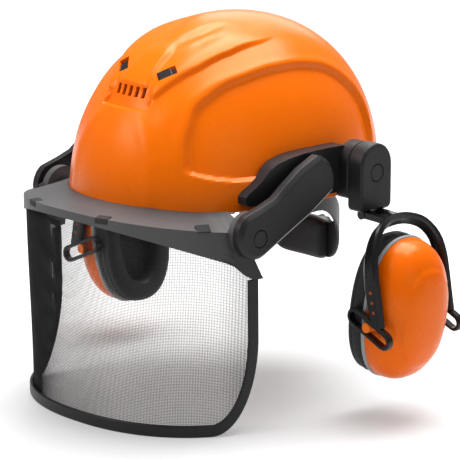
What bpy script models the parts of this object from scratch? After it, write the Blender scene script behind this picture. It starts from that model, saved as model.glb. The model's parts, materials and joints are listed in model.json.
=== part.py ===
"""Forestry helmet: hard shell with an adjustable harness, a lifting mesh visor and two folding ear muffs.

Frame: the helmet stands level, -Y is the wearer's front, +X the wearer's left, +Z up.  The origin is
the middle of the head opening in the plane of the shell's rim.  Dimensions are named in millimetres.
"""
import bpy
import bmesh
import numpy as np
from math import cos, sin, pi, radians, sqrt

MM = 0.001
GAP = 0.35                       # clearance between neighbouring pieces

# ---- driving dimensions (mm) ----
SHELL_HALF_WIDTH = 112.0
SHELL_FRONT = 141.0
SHELL_REAR = 140.0
SHELL_HEIGHT = 142.0
SHELL_PLAN_POWER = 2.15
SHELL_SIDE_POWER = 2.11
CROWN_SHIFT = 6.0                # the crown lies this far behind the middle
SHELL_WALL = 2.6
RECESS_DEPTH = 4.5
SLOT_WIDTH = 3.8                 # of each of the five vent slots
WINDOW_LENGTH, WINDOW_HEIGHT = 17.0, 9.6
RECESS_BLEND = 9.0

HEAD_HALF_WIDTH = 80.0           # inside of the headband, a 57 cm head
HEAD_HALF_LENGTH = 100.0
BAND_WALL = 1.8

ARM_REAR = (-22.4, 19.4)         # (y, z) of the axis that lifts the visor arms
ARM_FRONT = (-85.0, -15.0)       # (y, z) of the axis that tilts the visor on its arms
ARM_INNER = 121.0
ARM_OUTER = 131.0
PIN_RADIUS = 7.2

VISOR_HALF_WIDTH = 117.5         # outer edge of the visor frame seen from above
VISOR_DEPTH = 114.0
VISOR_CENTRE_Y = -70.0
VISOR_POWER = 2.1
BROW_GAP = 1.1                   # between the frame's inner edge and the shell
BROW_Z = 4.5                     # height of that edge in front
LIP_TOP = 3.4                    # the frame's front lip reaches from here
LIP_BOTTOM = -3.5                # down to here
FRAME_WALL = 2.6
MESH_HALF_WIDTH = 122.0
MESH_DEPTH = 116.0
MESH_CENTRE_Y = -60.0
MESH_POWER = 2.26
MESH_TAPER = 7.0                 # the visor is this much shallower at its lower edge
MESH_BOTTOM = -172.0
RIM_BOTTOM = -178.5
RIM_BAND = 10.0
RIM_TOP = -50.5
MESH_WALL = 0.8
RIM_WALL = 3.0
MESH_SIDE_Y = -84.0              # the net's side edges
RIM_SIDE_Y = -80.0               # the rim's outer side edges
CORNER_ACROSS = 46.0             # the visor's lower corners: how far along the bottom
CORNER_UP = 80.0                 # and how far up the side they reach

MUFF_Y = 34.5                    # fore-and-aft middle of the ear muffs
HOUSING_PIN_Z = 23.0
HOUSING_INNER = 129.0
HOUSING_OUTER = 145.0
HOUSING_RADIUS = 18.3
HOUSING_BOTTOM = -9.0
SWING_X = 138.0                  # axis of the yoke in the housing, parallel to Y
SWING_Z = -12.0
CUP_PIN = (177.5, -94.0)         # (x, z) of the axis through the two cup pins
CUP_RISE = 7.0                   # the cup's middle lies this far above its pins
CUP_LEAN = radians(8.0)
CUP_HALF_WIDTH = 37.5
CUP_HALF_HEIGHT = 60.5
CUP_POWER = 2.35
CUP_WALL = 3.0
DOME_BASE = -8.0                 # the dome's edge, measured outwards from the cup pins
DOME_HEIGHT = 38.0
TRIM_THICKNESS = 4.0
CUSHION_THICKNESS = 18.0
YOKE_HALF_SPREAD = 41.5          # from the muff's middle to the middle of each leg
PRONG_SPREAD = 8.0               # from the muff's middle to each of the yoke's two prongs
PRONG_HALF_WIDTH = 3.2
SLOT_SLOPE = radians(-24.0)
SLOT_LENGTH = 36.0
SLOT_RADIUS = 7.6
CUP_PIN_RADIUS = 4.2

NAPE_HALF_WIDTH = 84.0
NAPE_DEPTH = 98.0
NAPE_POWER = 2.3
NAPE_LOW = -66.0                 # the nape band's middle line behind the head
NAPE_RISE = 56.0                 # and how far it climbs to the ears
NAPE_HALF_HEIGHT = 16.0
KNOB_Y = 110.0
KNOB_Z = -67.0
KNOB_RADIUS = 15.0

# ---- colours: (red, green, blue), roughness, metallic ----
FINISHES = {
    "shell_orange": ((0.83, 0.16, 0.01), 0.28, 0.0),
    "cup_orange": ((0.80, 0.17, 0.01), 0.25, 0.0),
    "charcoal": ((0.035, 0.036, 0.038), 0.45, 0.0),
    "black_gloss": ((0.012, 0.012, 0.013), 0.18, 0.0),
    "trim_grey": ((0.32, 0.32, 0.33), 0.4, 0.0),
    "mesh_black": ((0.02, 0.02, 0.02), 0.5, 0.6),
    "cushion_black": ((0.015, 0.015, 0.016), 0.55, 0.0),
    "foam_grey": ((0.05, 0.05, 0.055), 0.9, 0.0),
    "strap_black": ((0.02, 0.02, 0.022), 0.8, 0.0),
}


# ---------------------------------------------------------------- building blocks
def clear_scene():
    for item in list(bpy.data.objects):
        bpy.data.objects.remove(item, do_unlink=True)


def finish(node, kind):
    """A material of the node's own, with the named finish."""
    colour, roughness, metallic = FINISHES[kind]
    material = bpy.data.materials.new(node + "_finish")
    material.use_nodes = True
    shader = material.node_tree.nodes["Principled BSDF"]
    shader.inputs["Base Color"].default_value = (*colour, 1.0)
    shader.inputs["Roughness"].default_value = roughness
    shader.inputs["Metallic"].default_value = metallic
    return material


def add_empty(name, place, parent=None):
    """An empty on a joint's axis; place is in world millimetres."""
    empty = bpy.data.objects.new(name, None)
    empty.empty_display_size = 0.02
    bpy.context.collection.objects.link(empty)
    here = np.array(place, float)
    empty["place"] = here.tolist()
    if parent:
        empty.parent = parent
        here = here - np.array(parent["place"])
    empty.location = here * MM
    return empty


def add_solid(name, solid, kind=None, joint=None, side=1):
    """A mesh object from (vertices, faces) in world millimetres; side -1 mirrors it in X."""
    verts, faces = solid
    verts = np.array(verts, float) * (side, 1, 1)
    if joint:
        verts = verts - np.array(joint["place"])
    mesh = bpy.data.meshes.new(name)
    mesh.from_pydata((verts * MM).tolist(), [], faces)
    work = bmesh.new()
    work.from_mesh(mesh)
    bmesh.ops.recalc_face_normals(work, faces=work.faces)
    work.to_mesh(mesh)
    work.free()
    mesh.shade_smooth()
    mesh.set_sharp_from_angle(angle=radians(35))
    item = bpy.data.objects.new(name, mesh)
    bpy.context.collection.objects.link(item)
    item.parent = joint
    if kind:
        mesh.materials.append(finish(name, kind))
    return item


def change(item, operation, tool):
    """Boolean of item with the tool (vertices, faces) in item's own frame, or with an object."""
    modifier = item.modifiers.new(operation.lower(), "BOOLEAN")
    modifier.operation = operation
    modifier.solver = "EXACT"
    modifier.object = tool
    tool.hide_render = True
    tool.display_type = "WIRE"


def cut(item, solid, joint=None, side=1):
    change(item, "DIFFERENCE", add_solid("cutter_" + item.name, solid, joint=joint, side=side))


def join(item, solid, joint=None, side=1):
    change(item, "UNION", add_solid("added_" + item.name, solid, joint=joint, side=side))


def loft(rings, closed=False):
    """A solid through rings of equally many points, capped at both ends or closed on itself."""
    rings = [np.array(ring, float) for ring in rings]
    count, n = len(rings), len(rings[0])
    faces = []
    for i in range(count if closed else count - 1):
        a, b = i * n, (i + 1) % count * n
        for j in range(n):
            k = (j + 1) % n
            faces.append((a + j, a + k, b + k, b + j))
    if not closed:
        faces.append(tuple(range(n))[::-1])
        faces.append(tuple(range((count - 1) * n, count * n)))
    return np.concatenate(rings), faces


def in_triangles(solid):
    """The same solid with every four-sided face split along its first diagonal."""
    verts, faces = solid
    split = []
    for face in faces:
        if len(face) == 4:
            split += [face[:3], (face[2], face[3], face[0])]
        else:
            split.append(face)
    return verts, split


def slab(top, bottom):
    """A solid between two grids of points (rows, columns, 3)."""
    rings = [np.concatenate([a, b[::-1]]) for a, b in zip(top, bottom)]
    n = top.shape[1]
    verts, faces = loft(rings)
    faces = faces[:-2]
    for row in (0, len(rings) - 1):
        base = row * 2 * n
        for j in range(n - 1):
            faces.append((base + j, base + j + 1, base + 2 * n - 2 - j, base + 2 * n - 1 - j))
    return verts, faces


def inset(outline, distance):
    """A counter-clockwise outline moved inwards."""
    here = np.array(outline, float)
    before = here - np.roll(here, 1, axis=0)
    after = np.roll(here, -1, axis=0) - here
    out_a = np.stack([before[:, 1], -before[:, 0]], 1) / np.linalg.norm(before, axis=1)[:, None]
    out_b = np.stack([after[:, 1], -after[:, 0]], 1) / np.linalg.norm(after, axis=1)[:, None]
    normal = (out_a + out_b) / (1 + (out_a * out_b).sum(1))[:, None]
    return here - normal * distance


def prism(outline, low, high, axis="x", bevel=0.0, bevel_low=0.0):
    """An outline swept along an axis, with its rims at the high and low ends chamfered."""
    steps = [(low, bevel_low)]
    if bevel_low:
        steps.append((low + bevel_low, 0.0))
    if bevel:
        steps.append((high - bevel, 0.0))
    steps.append((high, bevel))
    rings = []
    for level, shrink in steps:
        flat = inset(outline, shrink) if shrink else np.array(outline, float)
        along = np.full((len(flat), 1), level)
        if axis == "x":
            rings.append(np.hstack([along, flat]))
        elif axis == "y":
            rings.append(np.hstack([flat[:, :1], along, flat[:, 1:]]))
        else:
            rings.append(np.hstack([flat, along]))
    return loft(rings)


def arc(centre, radius, start, end, count):
    """Points of an arc, angles in degrees, both ends included."""
    turn = np.radians(np.linspace(start, end, count))
    return np.stack([centre[0] + radius * np.cos(turn), centre[1] + radius * np.sin(turn)], 1)


def circle(centre, radius, count=24):
    return arc(centre, radius, 0, 360, count + 1)[:-1]


def turned(profile, centre, axis="x", count=24):
    """A solid of revolution: profile is (distance along the axis, radius), centre the other two places."""
    rings = []
    for along, radius in profile:
        flat = circle(centre, radius, count)
        level = np.full((count, 1), along)
        if axis == "x":
            rings.append(np.hstack([level, flat]))
        else:
            rings.append(np.hstack([flat[:, :1], level, flat[:, 1:]]))
    return loft(rings)


def smoothstep(value, low, high):
    t = np.clip((np.asarray(value, float) - low) / (high - low), 0, 1)
    return t * t * (3 - 2 * t)


def signed_power(value, power):
    return np.sign(value) * np.abs(value) ** power


# ---------------------------------------------------------------- shell
RECESS_OUTLINE = np.array([
    (-112, 32), (-107, 56), (-92, 84), (-64, 101), (-25, 109), (8, 110), (39, 105), (59, 95),
    (78, 79), (88, 60), (90, 30), (85, 10), (-45, 10), (-54, 24), (-72, 23), (-94, 26)], float)


def distance_inside(points, outline):
    """Distance from each point to the outline, positive inside it."""
    nearest = np.full(len(points), 1e9)
    inside = np.zeros(len(points), bool)
    for a, b in zip(outline, np.roll(outline, -1, axis=0)):
        edge = b - a
        t = np.clip(((points - a) @ edge) / (edge @ edge), 0, 1)
        nearest = np.minimum(nearest, np.linalg.norm(points - a - t[:, None] * edge, axis=1))
        crosses = (a[1] > points[:, 1]) != (b[1] > points[:, 1])
        rise = b[1] - a[1] if b[1] != a[1] else 1e-9
        inside ^= crosses & (points[:, 0] < a[0] + (points[:, 1] - a[1]) * edge[0] / rise)
    return np.where(inside, nearest, -nearest)


def shell_surface(turn, rise, inward=0.0):
    """Point of the shell: turn is the plan angle, rise goes from 0 at the rim to 1 at the crown."""
    lift = np.sin(rise * pi / 2) ** (2 / SHELL_SIDE_POWER)
    reach = np.cos(rise * pi / 2) ** (2 / SHELL_SIDE_POWER)
    half = SHELL_HALF_WIDTH - inward
    length = np.where(np.sin(turn) < 0, SHELL_FRONT, SHELL_REAR) - inward
    x = half * signed_power(np.cos(turn), 2 / SHELL_PLAN_POWER) * reach
    y = length * signed_power(np.sin(turn), 2 / SHELL_PLAN_POWER) * reach + CROWN_SHIFT * lift
    return np.stack(np.broadcast_arrays(x, y, (SHELL_HEIGHT - inward) * lift), -1)


def shell_slope(points):
    """Outward unit normals of the smooth shell at points near it."""
    flat = points - np.stack([np.zeros(len(points)), CROWN_SHIFT * points[:, 2] / SHELL_HEIGHT,
                              np.zeros(len(points))], 1)
    size = np.array([SHELL_HALF_WIDTH, SHELL_FRONT, SHELL_HEIGHT])
    slope = signed_power(flat / size, SHELL_PLAN_POWER - 1) / size
    return slope / np.linalg.norm(slope, axis=1)[:, None]


def recess_depth(y, z):
    """How far the shell is pressed in at a place of its side."""
    points = np.stack([np.ravel(y), np.ravel(z)], 1)
    depth = RECESS_DEPTH * smoothstep(distance_inside(points, RECESS_OUTLINE), 0, RECESS_BLEND)
    return depth.reshape(np.shape(y))


def side_x(y, z):
    """Half width of the shell at (y, z), the recess included."""
    y, z = np.asarray(y, float), np.maximum(np.asarray(z, float), 0)
    lift = z / SHELL_HEIGHT
    length = np.where(y < 0, SHELL_FRONT, SHELL_REAR)
    level = (1 - lift ** SHELL_SIDE_POWER) ** (SHELL_PLAN_POWER / SHELL_SIDE_POWER)
    across = np.abs((y - CROWN_SHIFT * lift) / length) ** SHELL_PLAN_POWER
    return SHELL_HALF_WIDTH * np.maximum(level - across, 0) ** (1 / SHELL_PLAN_POWER) - recess_depth(y, z)


def shell_rings(turns, rises, inward):
    """Rings of the shell's outer or inner face, pressed in at the sides."""
    rings = []
    for rise in rises:
        outer = shell_surface(turns, rise)
        face = shell_surface(turns, rise, inward)
        depth = recess_depth(outer[:, 1], outer[:, 2])
        rings.append(face - shell_slope(outer) * depth[:, None])
    return rings


def shell_turns_and_rises():
    """The grid of the shell's facets."""
    return np.linspace(0, 2 * pi, 49)[:-1], np.linspace(0, 1, 13)[:-1] ** 0.9


def grown_shell(grow):
    """The shell's outer face as a solid, grown outwards and continued a little below the rim."""
    turns, rises = shell_turns_and_rises()
    rings = shell_rings(turns, rises, -grow)
    skirt = rings[0] - (0, 0, 12)
    return in_triangles(loft([skirt] + rings))


def make_shell():
    """Double wall from the rim to the crown, with five slots and two shutter windows."""
    turns, rises = shell_turns_and_rises()
    outer = shell_rings(turns, rises, 0)
    inner = shell_rings(turns, rises[::2], SHELL_WALL)
    verts, faces = in_triangles(loft(inner[::-1] + outer))
    faces = [face for face in faces if len(face) == 3]
    for base, inward in ((0, SHELL_WALL), (len(verts) - len(turns), 0)):
        pole = len(verts)
        verts = np.vstack([verts, [0, CROWN_SHIFT, SHELL_HEIGHT - inward]])
        for j in range(len(turns)):
            faces.append((base + j, base + (j + 1) % len(turns), pole))
    shell = add_solid("shell", (verts, faces), "shell_orange")
    for x in np.linspace(-15, 15, 5):
        low, high = arc((x, 87.5), SLOT_WIDTH / 2, 180, 360, 4), arc((x, 92.5), SLOT_WIDTH / 2, 0, 180, 4)
        cut(shell, prism(np.vstack([low, high]), -125, -85, axis="y"))
    for side in (1, -1):
        cut(shell, shutter_block(WINDOW_LENGTH, WINDOW_HEIGHT, 12.0), side=side)
    return shell


SHUTTER_MIDDLE = np.array([26.0, -89.5, 105.0])
SHUTTER_ALONG = np.array([0.62, 0.68, 0.38]) / np.linalg.norm((0.62, 0.68, 0.38))
SHUTTER_STROKE = 4.0


def shutter_block(length, height, depth, shift=0.0):
    """A block in a vent window, lying along the shell's spine."""
    out = shell_slope(SHUTTER_MIDDLE[None])[0]
    up = np.cross(SHUTTER_ALONG, out)
    middle = SHUTTER_MIDDLE + SHUTTER_ALONG * shift
    rings = []
    for end in (-0.5, 0.5):
        corners = ((-0.5, -0.5), (0.5, -0.5), (0.5, 0.5), (-0.5, 0.5))
        rings.append([middle + SHUTTER_ALONG * end * length + up * a * height + out * b * depth
                      for a, b in corners])
    return loft(rings)


def make_shutters():
    """Each shutter starts at the front end of its window and slides back along it."""
    for side, name in ((1, "left"), (-1, "right")):
        joint = add_empty("vent_" + name + "_axis", SHUTTER_MIDDLE * (side, 1, 1))
        block = shutter_block(WINDOW_LENGTH - SHUTTER_STROKE - 1, WINDOW_HEIGHT - 1, 2.4, -SHUTTER_STROKE / 2)
        add_solid("vent_shutter_" + name, block, "black_gloss", joint, side)


# ---------------------------------------------------------------- harness
def band(turns, half_x, half_y, wall, low, high, centre_y=0.0):
    """An upright strip along an ellipse; low and high give its edges at each angle."""
    def face(grow):
        x = (half_x + grow) * np.sin(turns)
        y = centre_y - (half_y + grow) * np.cos(turns)
        return np.stack([np.stack([x, y, low], 1), np.stack([x, y, high], 1)], 1)
    return slab(face(wall), face(0.0))


def make_headband():
    """Front headband, a strip that ends behind the ears, and the sweatband on its inside."""
    turns = np.radians(np.linspace(-118, 118, 41))
    high = 20 - 8 * smoothstep(np.abs(turns), 0.6, 1.6)
    low = -9 + 2 * smoothstep(np.abs(turns), 0.6, 1.6)
    add_solid("headband", band(turns, HEAD_HALF_WIDTH, HEAD_HALF_LENGTH, BAND_WALL, low, high), "charcoal")
    turns = np.radians(np.linspace(-58, 58, 25))
    low = np.full(len(turns), -11.0)
    high = np.full(len(turns), 21.0)
    add_solid("sweatband", band(turns, HEAD_HALF_WIDTH - 4.4, HEAD_HALF_LENGTH - 4.4, 4.0, low, high),
              "cushion_black")


ANCHOR_ANGLES = {"front_left": 38, "middle_left": 90, "rear_left": 142,
                 "front_right": -38, "middle_right": -90, "rear_right": -142}
STRAP_HALF_WIDTH = 9.0
STRAP_FOOT_Z = 22.6
STRAP_CROWN_Z = 104.0
CLIP_LOW, CLIP_HIGH = 2.0, 22.0


def reach_of_ellipse(angle, half_x, half_y):
    """Distance from the centre to an ellipse in the direction angle, measured from the front."""
    return 1 / sqrt((sin(angle) / half_x) ** 2 + (cos(angle) / half_y) ** 2)


def shell_reach(angle, z, inward):
    """Distance from the centre to the shell's inner face in a direction, at height z."""
    rise = np.arcsin((z / (SHELL_HEIGHT - inward)) ** (SHELL_SIDE_POWER / 2)) * 2 / pi
    turns = np.linspace(0, 2 * pi, 1441)
    ring = shell_surface(turns, rise, inward)
    heading = np.arctan2(ring[:, 0], -ring[:, 1])
    nearest = np.argmin(np.abs(np.angle(np.exp(1j * (heading - angle)))))
    return float(np.hypot(ring[nearest, 0], ring[nearest, 1]))


def make_straps():
    """Three webbing straps that cross at the crown, a clip at each of their six ends."""
    for level, (name, start) in enumerate((("front", 38), ("middle", 90), ("rear", 142))):
        angle = radians(start)
        reach = reach_of_ellipse(angle, 92, 112)
        crown = STRAP_CROWN_Z + 1.6 * level
        ahead = np.array([sin(angle), -cos(angle), 0])
        beside = np.array([cos(angle), sin(angle), 0])
        swing = np.radians(np.linspace(0, 180, 25))
        line = (ahead * (reach * signed_power(np.cos(swing), 0.92))[:, None]
                + np.array([0, 0, 1]) * (STRAP_FOOT_Z + (crown - STRAP_FOOT_Z) * np.sin(swing))[:, None])
        outward = ahead * np.cos(swing)[:, None] + np.array([0, 0, 1]) * np.sin(swing)[:, None]
        faces = [np.stack([line + outward * grow - beside * STRAP_HALF_WIDTH,
                           line + outward * grow + beside * STRAP_HALF_WIDTH], 1) for grow in (1.0, 0.0)]
        add_solid("crown_strap_" + name, slab(*faces), "strap_black")
    for name, degrees in ANCHOR_ANGLES.items():
        angle = radians(degrees)
        ahead = np.array([sin(angle), -cos(angle), 0])
        beside = np.array([cos(angle), sin(angle), 0])
        near = reach_of_ellipse(angle, HEAD_HALF_WIDTH, HEAD_HALF_LENGTH) + BAND_WALL + 1.6
        rings = []
        for z, shy in ((CLIP_LOW, 6.0), (CLIP_LOW + 5, 0.0), (CLIP_HIGH, 0.0)):
            far = shell_reach(angle, CLIP_HIGH, SHELL_WALL) - RECESS_DEPTH - 2.6 - shy
            rings.append([ahead * a + beside * b + np.array([0, 0, z])
                          for a, b in ((near, -10), (far, -7), (far, 7), (near, 10))])
        add_solid("anchor_clip_" + name, loft(rings), "charcoal")


def nape_outline(turns, grow):
    """Plan of the nape band: an arc behind the head that runs straight forward at the ears."""
    power = 2 / NAPE_POWER
    x = (NAPE_HALF_WIDTH + grow) * signed_power(np.sin(turns), power)
    y = (NAPE_DEPTH + grow) * signed_power(np.cos(turns), power)
    return x, y


def nape_middle(turns):
    """Height of the nape band's middle line."""
    return NAPE_LOW + NAPE_RISE * smoothstep(np.abs(turns), 0.25, 1.35)


def make_nape(joint):
    """Nape band rising to the ears, its soft pad, and the housing of the size ratchet."""
    def face(turns, grow, top, bottom):
        x, y = nape_outline(turns, grow)
        return np.stack([np.stack([x, y, bottom], 1), np.stack([x, y, top], 1)], 1)
    turns = np.radians(np.linspace(-96, 96, 41))
    middle = nape_middle(turns)
    half = NAPE_HALF_HEIGHT - 7 * smoothstep(np.abs(turns), 0.25, 1.35)
    add_solid("nape_band", slab(face(turns, 2.0, middle + half, middle - half),
                                face(turns, 0.0, middle + half, middle - half)), "charcoal", joint)
    turns = np.radians(np.linspace(-18, 18, 15))
    half = 19 * (1 - (turns / 0.345) ** 4) ** 0.25
    centre = nape_middle(turns)
    add_solid("nape_pad", slab(face(turns, -0.5, centre + half, centre - half),
                               face(turns, -7.5, centre + half - 3, centre - half + 3)), "cushion_black", joint)
    outline = np.vstack([arc((14, KNOB_Z), 17, -90, 90, 9), arc((-14, KNOB_Z), 17, 90, 270, 9)])
    housing = add_solid("ratchet_housing", prism(outline, 101.2, KNOB_Y - 0.4, axis="y", bevel=2.0),
                        "charcoal", joint)
    cut(housing, turned([(103.6, 9.2), (KNOB_Y + 5, 9.2)], (0, KNOB_Z), axis="y", count=20), joint)


def make_knob(joint):
    """Fluted size knob and the pinion that it turns inside the housing."""
    turns = np.linspace(0, 2 * pi, 49)[:-1]
    radius = KNOB_RADIUS - 0.9 * (np.cos(turns * 12) < 0)
    outline = np.stack([radius * np.cos(turns), KNOB_Z + radius * np.sin(turns)], 1)
    add_solid("ratchet_knob", prism(outline, KNOB_Y, KNOB_Y + 11, axis="y", bevel=1.5), "charcoal", joint)
    radius = 8.4 - 1.8 * (np.arange(32) % 4 > 1)
    turns = np.linspace(0, 2 * pi, 33)[:-1]
    outline = np.stack([radius * np.cos(turns), KNOB_Z + radius * np.sin(turns)], 1)
    add_solid("ratchet_pinion", prism(outline, 104.0, KNOB_Y - GAP, axis="y"), "trim_grey", joint)


# ---------------------------------------------------------------- carriers and visor arms
def hugging_slab(columns, low, high, outer, rows=5):
    """A plate from just inside the shell's side to an outer face; low, high and outer depend on y."""
    top, bottom = [], []
    for y, z_low, z_high, x_out in zip(columns, low, high, outer):
        z = np.linspace(z_low, z_high, rows)
        inner = side_x(np.full(rows, y), z) - 4.0
        top.append(np.stack([np.full(rows, x_out), np.full(rows, y), z], 1))
        bottom.append(np.stack([inner, np.full(rows, y), z], 1))
    return slab(np.array(top), np.array(bottom))


def housing_outline(radius, middle_y, low):
    """Arched block seen from the side: a round top on straight flanks."""
    corner = 5.0
    return np.vstack([arc((middle_y + radius - corner, low + corner), corner, -90, 0, 4),
                      arc((middle_y, HOUSING_PIN_Z + 6), radius, 0, 180, 15),
                      arc((middle_y - radius + corner, low + corner), corner, 180, 270, 4)])


def make_carrier(name, side):
    """Rail on the shell's side: visor pivot boss in front, the muff's block behind."""
    y = np.array([-77, -74, -68, -62, -56, -49, -38, -24, -8, 8, 24], float)
    high = np.array([13, 16.5, 21, 26, 33, 38, 41.5, 43.5, 44, 44, 43.5])
    low = np.array([7, 5.5, 5, 5, 5, 5, 5, 5, 5, 5, 5], float)
    outer = np.array([105.5, 107, 108.5, 110, 111.5, 113.5, 116, 117.5, 117.5, 117.5, 117.5])
    rail = add_solid("carrier_" + name, hugging_slab(y, low, high, outer), "charcoal", side=side)
    cut(rail, grown_shell(2 * GAP))
    block = prism(housing_outline(HOUSING_RADIUS - 0.6, MUFF_Y, 0.0), 115.5, HOUSING_INNER - GAP, bevel=1.5)
    join(rail, block, side=side)
    cut(rail, turned([(HOUSING_INNER - 9, PIN_RADIUS - 1.7 + GAP), (HOUSING_INNER + 5, PIN_RADIUS - 1.7 + GAP)],
                     (MUFF_Y, HOUSING_PIN_Z), count=20), side=side)
    pin = [(117.5 + GAP, 8.6), (ARM_INNER + 5, 8.6), (ARM_INNER + 6, 7.6)]
    add_solid("arm_pivot_" + name, turned(pin, ARM_REAR, count=20), "charcoal", side=side)


def arm_outline():
    """Side view of a visor arm: round front end on its pin, wide rear end curved about its pivot."""
    fy, fz = ARM_FRONT
    front = arc((fy - 1.5, fz + 3.0), 20.5, 125, 298, 11)
    rear = arc(ARM_REAR, 24.0, -20, 78, 8)
    lower = np.array([(-52.0, -17.5), (-27.0, -5.6)])
    upper = np.array([(-37.0, 34.5), (-55.0, 22.5), (-66.0, 14.5), (-80.0, 9.8)])
    return np.vstack([front, lower, rear, upper])


def make_arm(name, side, joint):
    """Bar from the lifting axis to the visor's pin, and the pin itself."""
    arm = add_solid("visor_arm_" + name, prism(arm_outline(), ARM_INNER, ARM_OUTER, bevel=3.6),
                    "charcoal", joint, side)
    cut(arm, turned([(ARM_INNER - 5, 9.0), (ARM_INNER + 6.5, 9.0)], ARM_REAR, count=20), joint, side)
    cut(arm, turned([(ARM_INNER - 5, PIN_RADIUS + GAP), (ARM_OUTER + 5, PIN_RADIUS + GAP)], ARM_FRONT), joint,
        side)
    pin = [(108.0, 9.5), (111.6, 9.5), (111.6, PIN_RADIUS), (ARM_OUTER - 0.6, PIN_RADIUS),
           (ARM_OUTER, PIN_RADIUS - 0.6)]
    add_solid("visor_pin_" + name, turned(pin, ARM_FRONT), "charcoal", joint, side)


# ---------------------------------------------------------------- visor
def frame_edge(turns):
    """Plan of the visor frame's outer edge."""
    x = VISOR_HALF_WIDTH * signed_power(np.sin(turns), 2 / VISOR_POWER)
    y = VISOR_CENTRE_Y - VISOR_DEPTH * signed_power(np.cos(turns), 2 / VISOR_POWER)
    return x, y


def mesh_edge(turns, grow=0.0, z=0.0):
    """Plan of the visor mesh at a height."""
    depth = MESH_DEPTH + grow - MESH_TAPER * smoothstep(-np.asarray(z, float), 0, -RIM_BOTTOM)
    x = (MESH_HALF_WIDTH + grow) * signed_power(np.sin(turns), 2 / MESH_POWER)
    y = MESH_CENTRE_Y - depth * signed_power(np.cos(turns), 2 / MESH_POWER)
    return x, y


def frame_top(y):
    """Height of the frame's outer top edge, highest in front."""
    behind = y - (VISOR_CENTRE_Y - VISOR_DEPTH)
    return LIP_TOP - 12 * np.clip(behind / 72, 0, 2) ** 0.85


def frame_bottom(y):
    """Height of the lip's lower edge, which runs down into a tail beside the pins."""
    behind = y - (VISOR_CENTRE_Y - VISOR_DEPTH)
    return np.maximum(LIP_BOTTOM - 31 * behind / 77 - 7 * smoothstep(y, -106, -90), RIM_TOP + GAP)


def make_visor_frame(joint):
    """Shelf from the shell's brow to the front lip, a hub at each pin and a tail below each hub."""
    turns = np.radians(np.concatenate([np.linspace(-84, -60, 7)[:-1], np.linspace(-60, 60, 25),
                                       np.linspace(60, 84, 7)[1:]]))
    x_top, y_top = frame_edge(turns)
    aside = smoothstep(np.abs(turns), 0.75, 1.25)
    x_rim, y_rim = mesh_edge(turns, 4.0)
    x_bottom = x_top + (x_rim - x_top) * aside
    y_bottom = y_top + (y_rim - y_top) * aside
    z_top, z_bottom = frame_top(y_top), frame_bottom(y_bottom)
    z_middle = np.where(y_top > -118, np.maximum(z_bottom + 3, -37.0), (z_top + z_bottom) / 2)
    x_middle = np.clip((x_top + x_bottom) / 2, -118.2, 118.2)
    y_middle = (y_top + y_bottom) / 2
    brow = shell_surface(np.arctan2(y_top, x_top), 0.0, -BROW_GAP)
    brow_z = BROW_Z - 3.2 * smoothstep(brow[:, 1], -143, -100)

    def pulled(x, y, depth):
        return x * (1 - depth / np.hypot(x, y)), y * (1 - depth / np.hypot(x, y))
    xs, ys = pulled(x_top, y_top, FRAME_WALL)
    xm, ym = pulled(x_middle, y_middle, FRAME_WALL)
    xb, yb = pulled(x_bottom, y_bottom, FRAME_WALL)
    rings = np.stack([
        np.stack([brow[:, 0], brow[:, 1], brow_z], 1), np.stack([x_top, y_top, z_top], 1),
        np.stack([x_middle, y_middle, z_middle], 1), np.stack([x_bottom, y_bottom, z_bottom], 1),
        np.stack([xb, yb, z_bottom], 1), np.stack([xm, ym, np.minimum(z_middle, z_top - FRAME_WALL - 1)], 1),
        np.stack([xs, ys, z_top - FRAME_WALL], 1), np.stack([brow[:, 0], brow[:, 1], brow_z - FRAME_WALL], 1)], 1)
    frame = add_solid("visor_frame", loft(rings), "charcoal", joint)
    for side in (1, -1):
        join(frame, prism(circle((ARM_FRONT[0], ARM_FRONT[1] + 1), 19.0), 112.2, 120.4, bevel=1.5), joint, side)
        bore = [(103.0, 11.3), (112.05, 11.3), (112.05, PIN_RADIUS + GAP), (150, PIN_RADIUS + GAP)]
        cut(frame, turned(bore, ARM_FRONT, count=22), joint, side)
    return frame


def corner_turn(y_side):
    """Plan angle of the mesh at which its side edge reaches y_side."""
    return np.arccos(((MESH_CENTRE_Y - y_side) / MESH_DEPTH) ** (MESH_POWER / 2))


def visor_low(turns, y_side, bottom, across, up):
    """Lower edge of the visor: level, with oval corners below its side edges."""
    arm = np.clip((corner_turn(y_side) - np.abs(turns)) * MESH_HALF_WIDTH / across, 0, 1)
    return bottom + up * (1 - np.sqrt(1 - (1 - arm) ** 2))


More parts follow.
